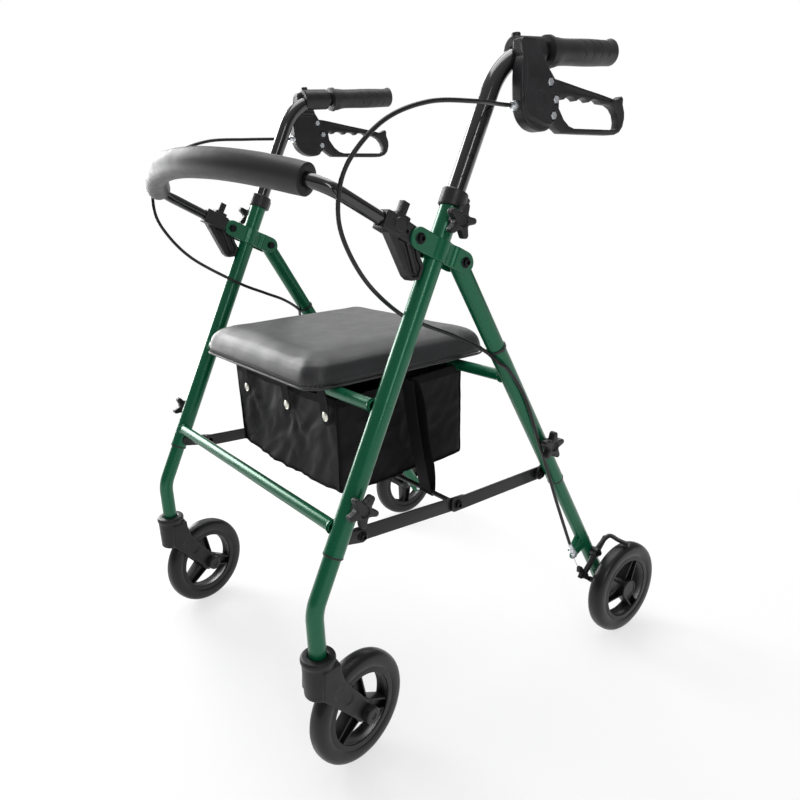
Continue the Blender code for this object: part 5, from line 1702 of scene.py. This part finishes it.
def hanging_tab(centre_x, low_z, tube_centre, wall_y, front):
    """Tab that hangs outside the basket, loops over a cross tube and goes down inside."""
    sign = -1 if front else 1
    wrap = CROSS_RADIUS + 0.0004
    path = []
    for k in range(9):
        t = k / 8
        y = wall_y + sign * (0.003 + 0.001 * math.sin(math.pi * t))
        end_y = tube_centre.y + sign * wrap
        path.append((y + (end_y - y) * t ** 2, low_z + (tube_centre.z - low_z) * t))
    for k in range(1, 13):
        angle = math.pi * k / 12
        path.append((tube_centre.y + sign * wrap * math.cos(angle), tube_centre.z + wrap * math.sin(angle)))
    inner = tube_centre.y - sign * wrap
    for k in range(1, 6):
        path.append((inner + (wall_y - sign * 0.004 - inner) * k / 5, tube_centre.z - 0.035 * k / 5))
    return strip_shell(path, centre_x, 0.011, 0.0008)


def build_tabs():
    snaps = []
    tabs = []
    for x, z in SNAPS:
        tabs.append(hanging_tab(x, z - 0.0125, SEAT_TUBE, BASKET_FRONT, True))
        snap_at = Vector((x, BASKET_FRONT - 0.0042, z))
        snaps.append(turned([(0, 0), (0.0062, 0), (0.0068, 0.0006), (0.0066, 0.0013), (0.0056, 0.0018),
                             (0.0048, 0.0014), (0.0042, 0.0017), (0, 0.0022)], snap_at, -Y, 40))
    flatten_with_fold(piece("basket_tabs_front", tabs, WEBBING, "frame"))
    flatten_with_fold(piece("basket_snaps", snaps, SNAP, "frame"))
    rear = [hanging_tab(x, 0.414, REAR_CROSS, BASKET_BACK, False) for x in (-0.12, 0.0, 0.12)]
    piece("basket_tabs_rear", rear, WEBBING, "rear")


# ---------------------------------------------------------------- floor, light and camera

def pale_floor():
    """Matt floor near the walker that fades into an even pale glow farther out."""
    material = new_material("pale_floor", (0.84, 0.84, 0.84), 0.8)
    mottle(material, (0.83, 0.83, 0.83), (0.85, 0.85, 0.85), 3.0)
    add_node(material, "VectorMath", "Away", operation="LENGTH")
    wire(material, "Place", "Object", "Away", 0)
    add_node(material, "MapRange", "Fade", interpolation_type="SMOOTHSTEP",
             values={"From Min": 0.35, "From Max": 1.5, "To Min": 0.68})
    wire(material, "Away", "Value", "Fade", "Value")
    add_node(material, "Emission", "Glow", {"Color": (1, 1, 1, 1), "Strength": 1.0})
    add_node(material, "MixShader", "Blend")
    wire(material, "Fade", "Result", "Blend", "Fac")
    wire(material, SHADER, "BSDF", "Blend", 1)
    wire(material, "Glow", "Emission", "Blend", 2)
    wire(material, "Blend", "Shader", "Material Output", "Surface")
    return material


def build_stage():
    """Pale floor in an even white studio that is darker below than above in reflections."""
    floor_material = pale_floor()
    bpy.ops.mesh.primitive_plane_add(size=60, location=(0, 0, 0))
    floor = bpy.context.object
    floor.name = "floor"
    floor.data.materials.append(floor_material)

    world = bpy.data.worlds.new("studio")
    bpy.context.scene.world = world
    world.use_nodes = True
    world.node_tree.nodes.clear()
    add_node(world, "OutputWorld", "Output")
    add_node(world, "Background", "Seen", {"Color": (1, 1, 1, 1), "Strength": 1.0})
    add_node(world, "Background", "Room", {"Strength": 0.52})
    add_node(world, "TexCoord", "Place")
    add_node(world, "SeparateXYZ", "Split")
    low, high = add_node(world, "ValToRGB", "Ramp").color_ramp.elements
    low.position, low.color = 0.0, (0.16, 0.165, 0.17, 1)
    high.position, high.color = 0.9, (1, 1, 1, 1)
    add_node(world, "LightPath", "Rays")
    add_node(world, "MixShader", "Blend")
    wire(world, "Place", "Generated", "Split", "Vector")
    wire(world, "Split", "Z", "Ramp", "Fac")
    wire(world, "Ramp", "Color", "Room", "Color")
    wire(world, "Rays", "Is Camera Ray", "Blend", "Fac")
    wire(world, "Room", "Background", "Blend", 1)
    wire(world, "Seen", "Background", "Blend", 2)
    wire(world, "Blend", "Shader", "Output", "Surface")


CAMERA_AT = Vector((0.883, -0.617, 0.7251))
CAMERA_AZIMUTH = math.radians(52.91)
CAMERA_ELEVATION = math.radians(17.11)
CAMERA_ROLL = math.radians(-2.15)


def camera_axes():
    back = Vector((
        math.sin(CAMERA_AZIMUTH) * math.cos(CAMERA_ELEVATION),
        -math.cos(CAMERA_AZIMUTH) * math.cos(CAMERA_ELEVATION),
        math.sin(CAMERA_ELEVATION),
    ))
    right = (-back).cross(Z).normalized()
    up = back.cross(right)
    turned_right = right * math.cos(CAMERA_ROLL) + up * math.sin(CAMERA_ROLL)
    turned_up = up * math.cos(CAMERA_ROLL) - right * math.sin(CAMERA_ROLL)
    return turned_right, turned_up, back


def add_softbox(name, place, target, width, height, power):
    light = bpy.data.lights.new(name, "AREA")
    light.shape = "RECTANGLE"
    light.size = width
    light.size_y = height
    light.energy = power
    lamp = bpy.data.objects.new(name, light)
    lamp.location = place
    lamp.rotation_mode = "QUATERNION"
    lamp.rotation_quaternion = (target - place).to_track_quat("-Z", "Y")
    bpy.context.scene.collection.objects.link(lamp)


def build_camera_and_lights():
    right, up, back = camera_axes()
    data = bpy.data.cameras.new("camera")
    data.sensor_width = 36
    data.lens = 31.24
    data.clip_start = 0.01
    camera = bpy.data.objects.new("camera", data)
    turn = Matrix((right, up, back)).transposed().to_4x4()
    camera.matrix_world = Matrix.Translation(placed(CAMERA_AT)) @ turn
    bpy.context.scene.collection.objects.link(camera)
    bpy.context.scene.camera = camera
    target = Vector((0, 0, 0.45))
    flat_back = Vector((back.x, back.y, 0)).normalized()
    add_softbox("left_box", target - right * 1.7 - flat_back * 1.5 + Z * 0.6, target, 1.2, 1.8, 75)
    add_softbox("back_box", target - flat_back * 2.4 + right * 0.3 + Z * 1.25, target, 2.2, 1.0, 15)
    add_softbox("near_strip", target + right * 0.7 + flat_back * 2.4 + Z * 1.1, target, 0.24, 1.6, 11)
    add_softbox("top_box", target + Z * 2.4 - flat_back * 0.5, target, 2.0, 2.0, 42)
    bpy.context.scene.view_settings.view_transform = "Standard"


# ---------------------------------------------------------------- build

for build in (
    build_front_frame, build_front_legs, build_rear_frame, build_rear_legs, build_bolts, build_collars,
    build_links, build_strap, build_casters, build_rear_wheels, build_knobs, build_handle_tubes,
    build_grips, build_housings, build_levers, build_brake_arms, build_cables, build_back,
    build_back_brackets, build_seat, build_basket, build_tabs, build_stage, build_camera_and_lights,
):
    build()
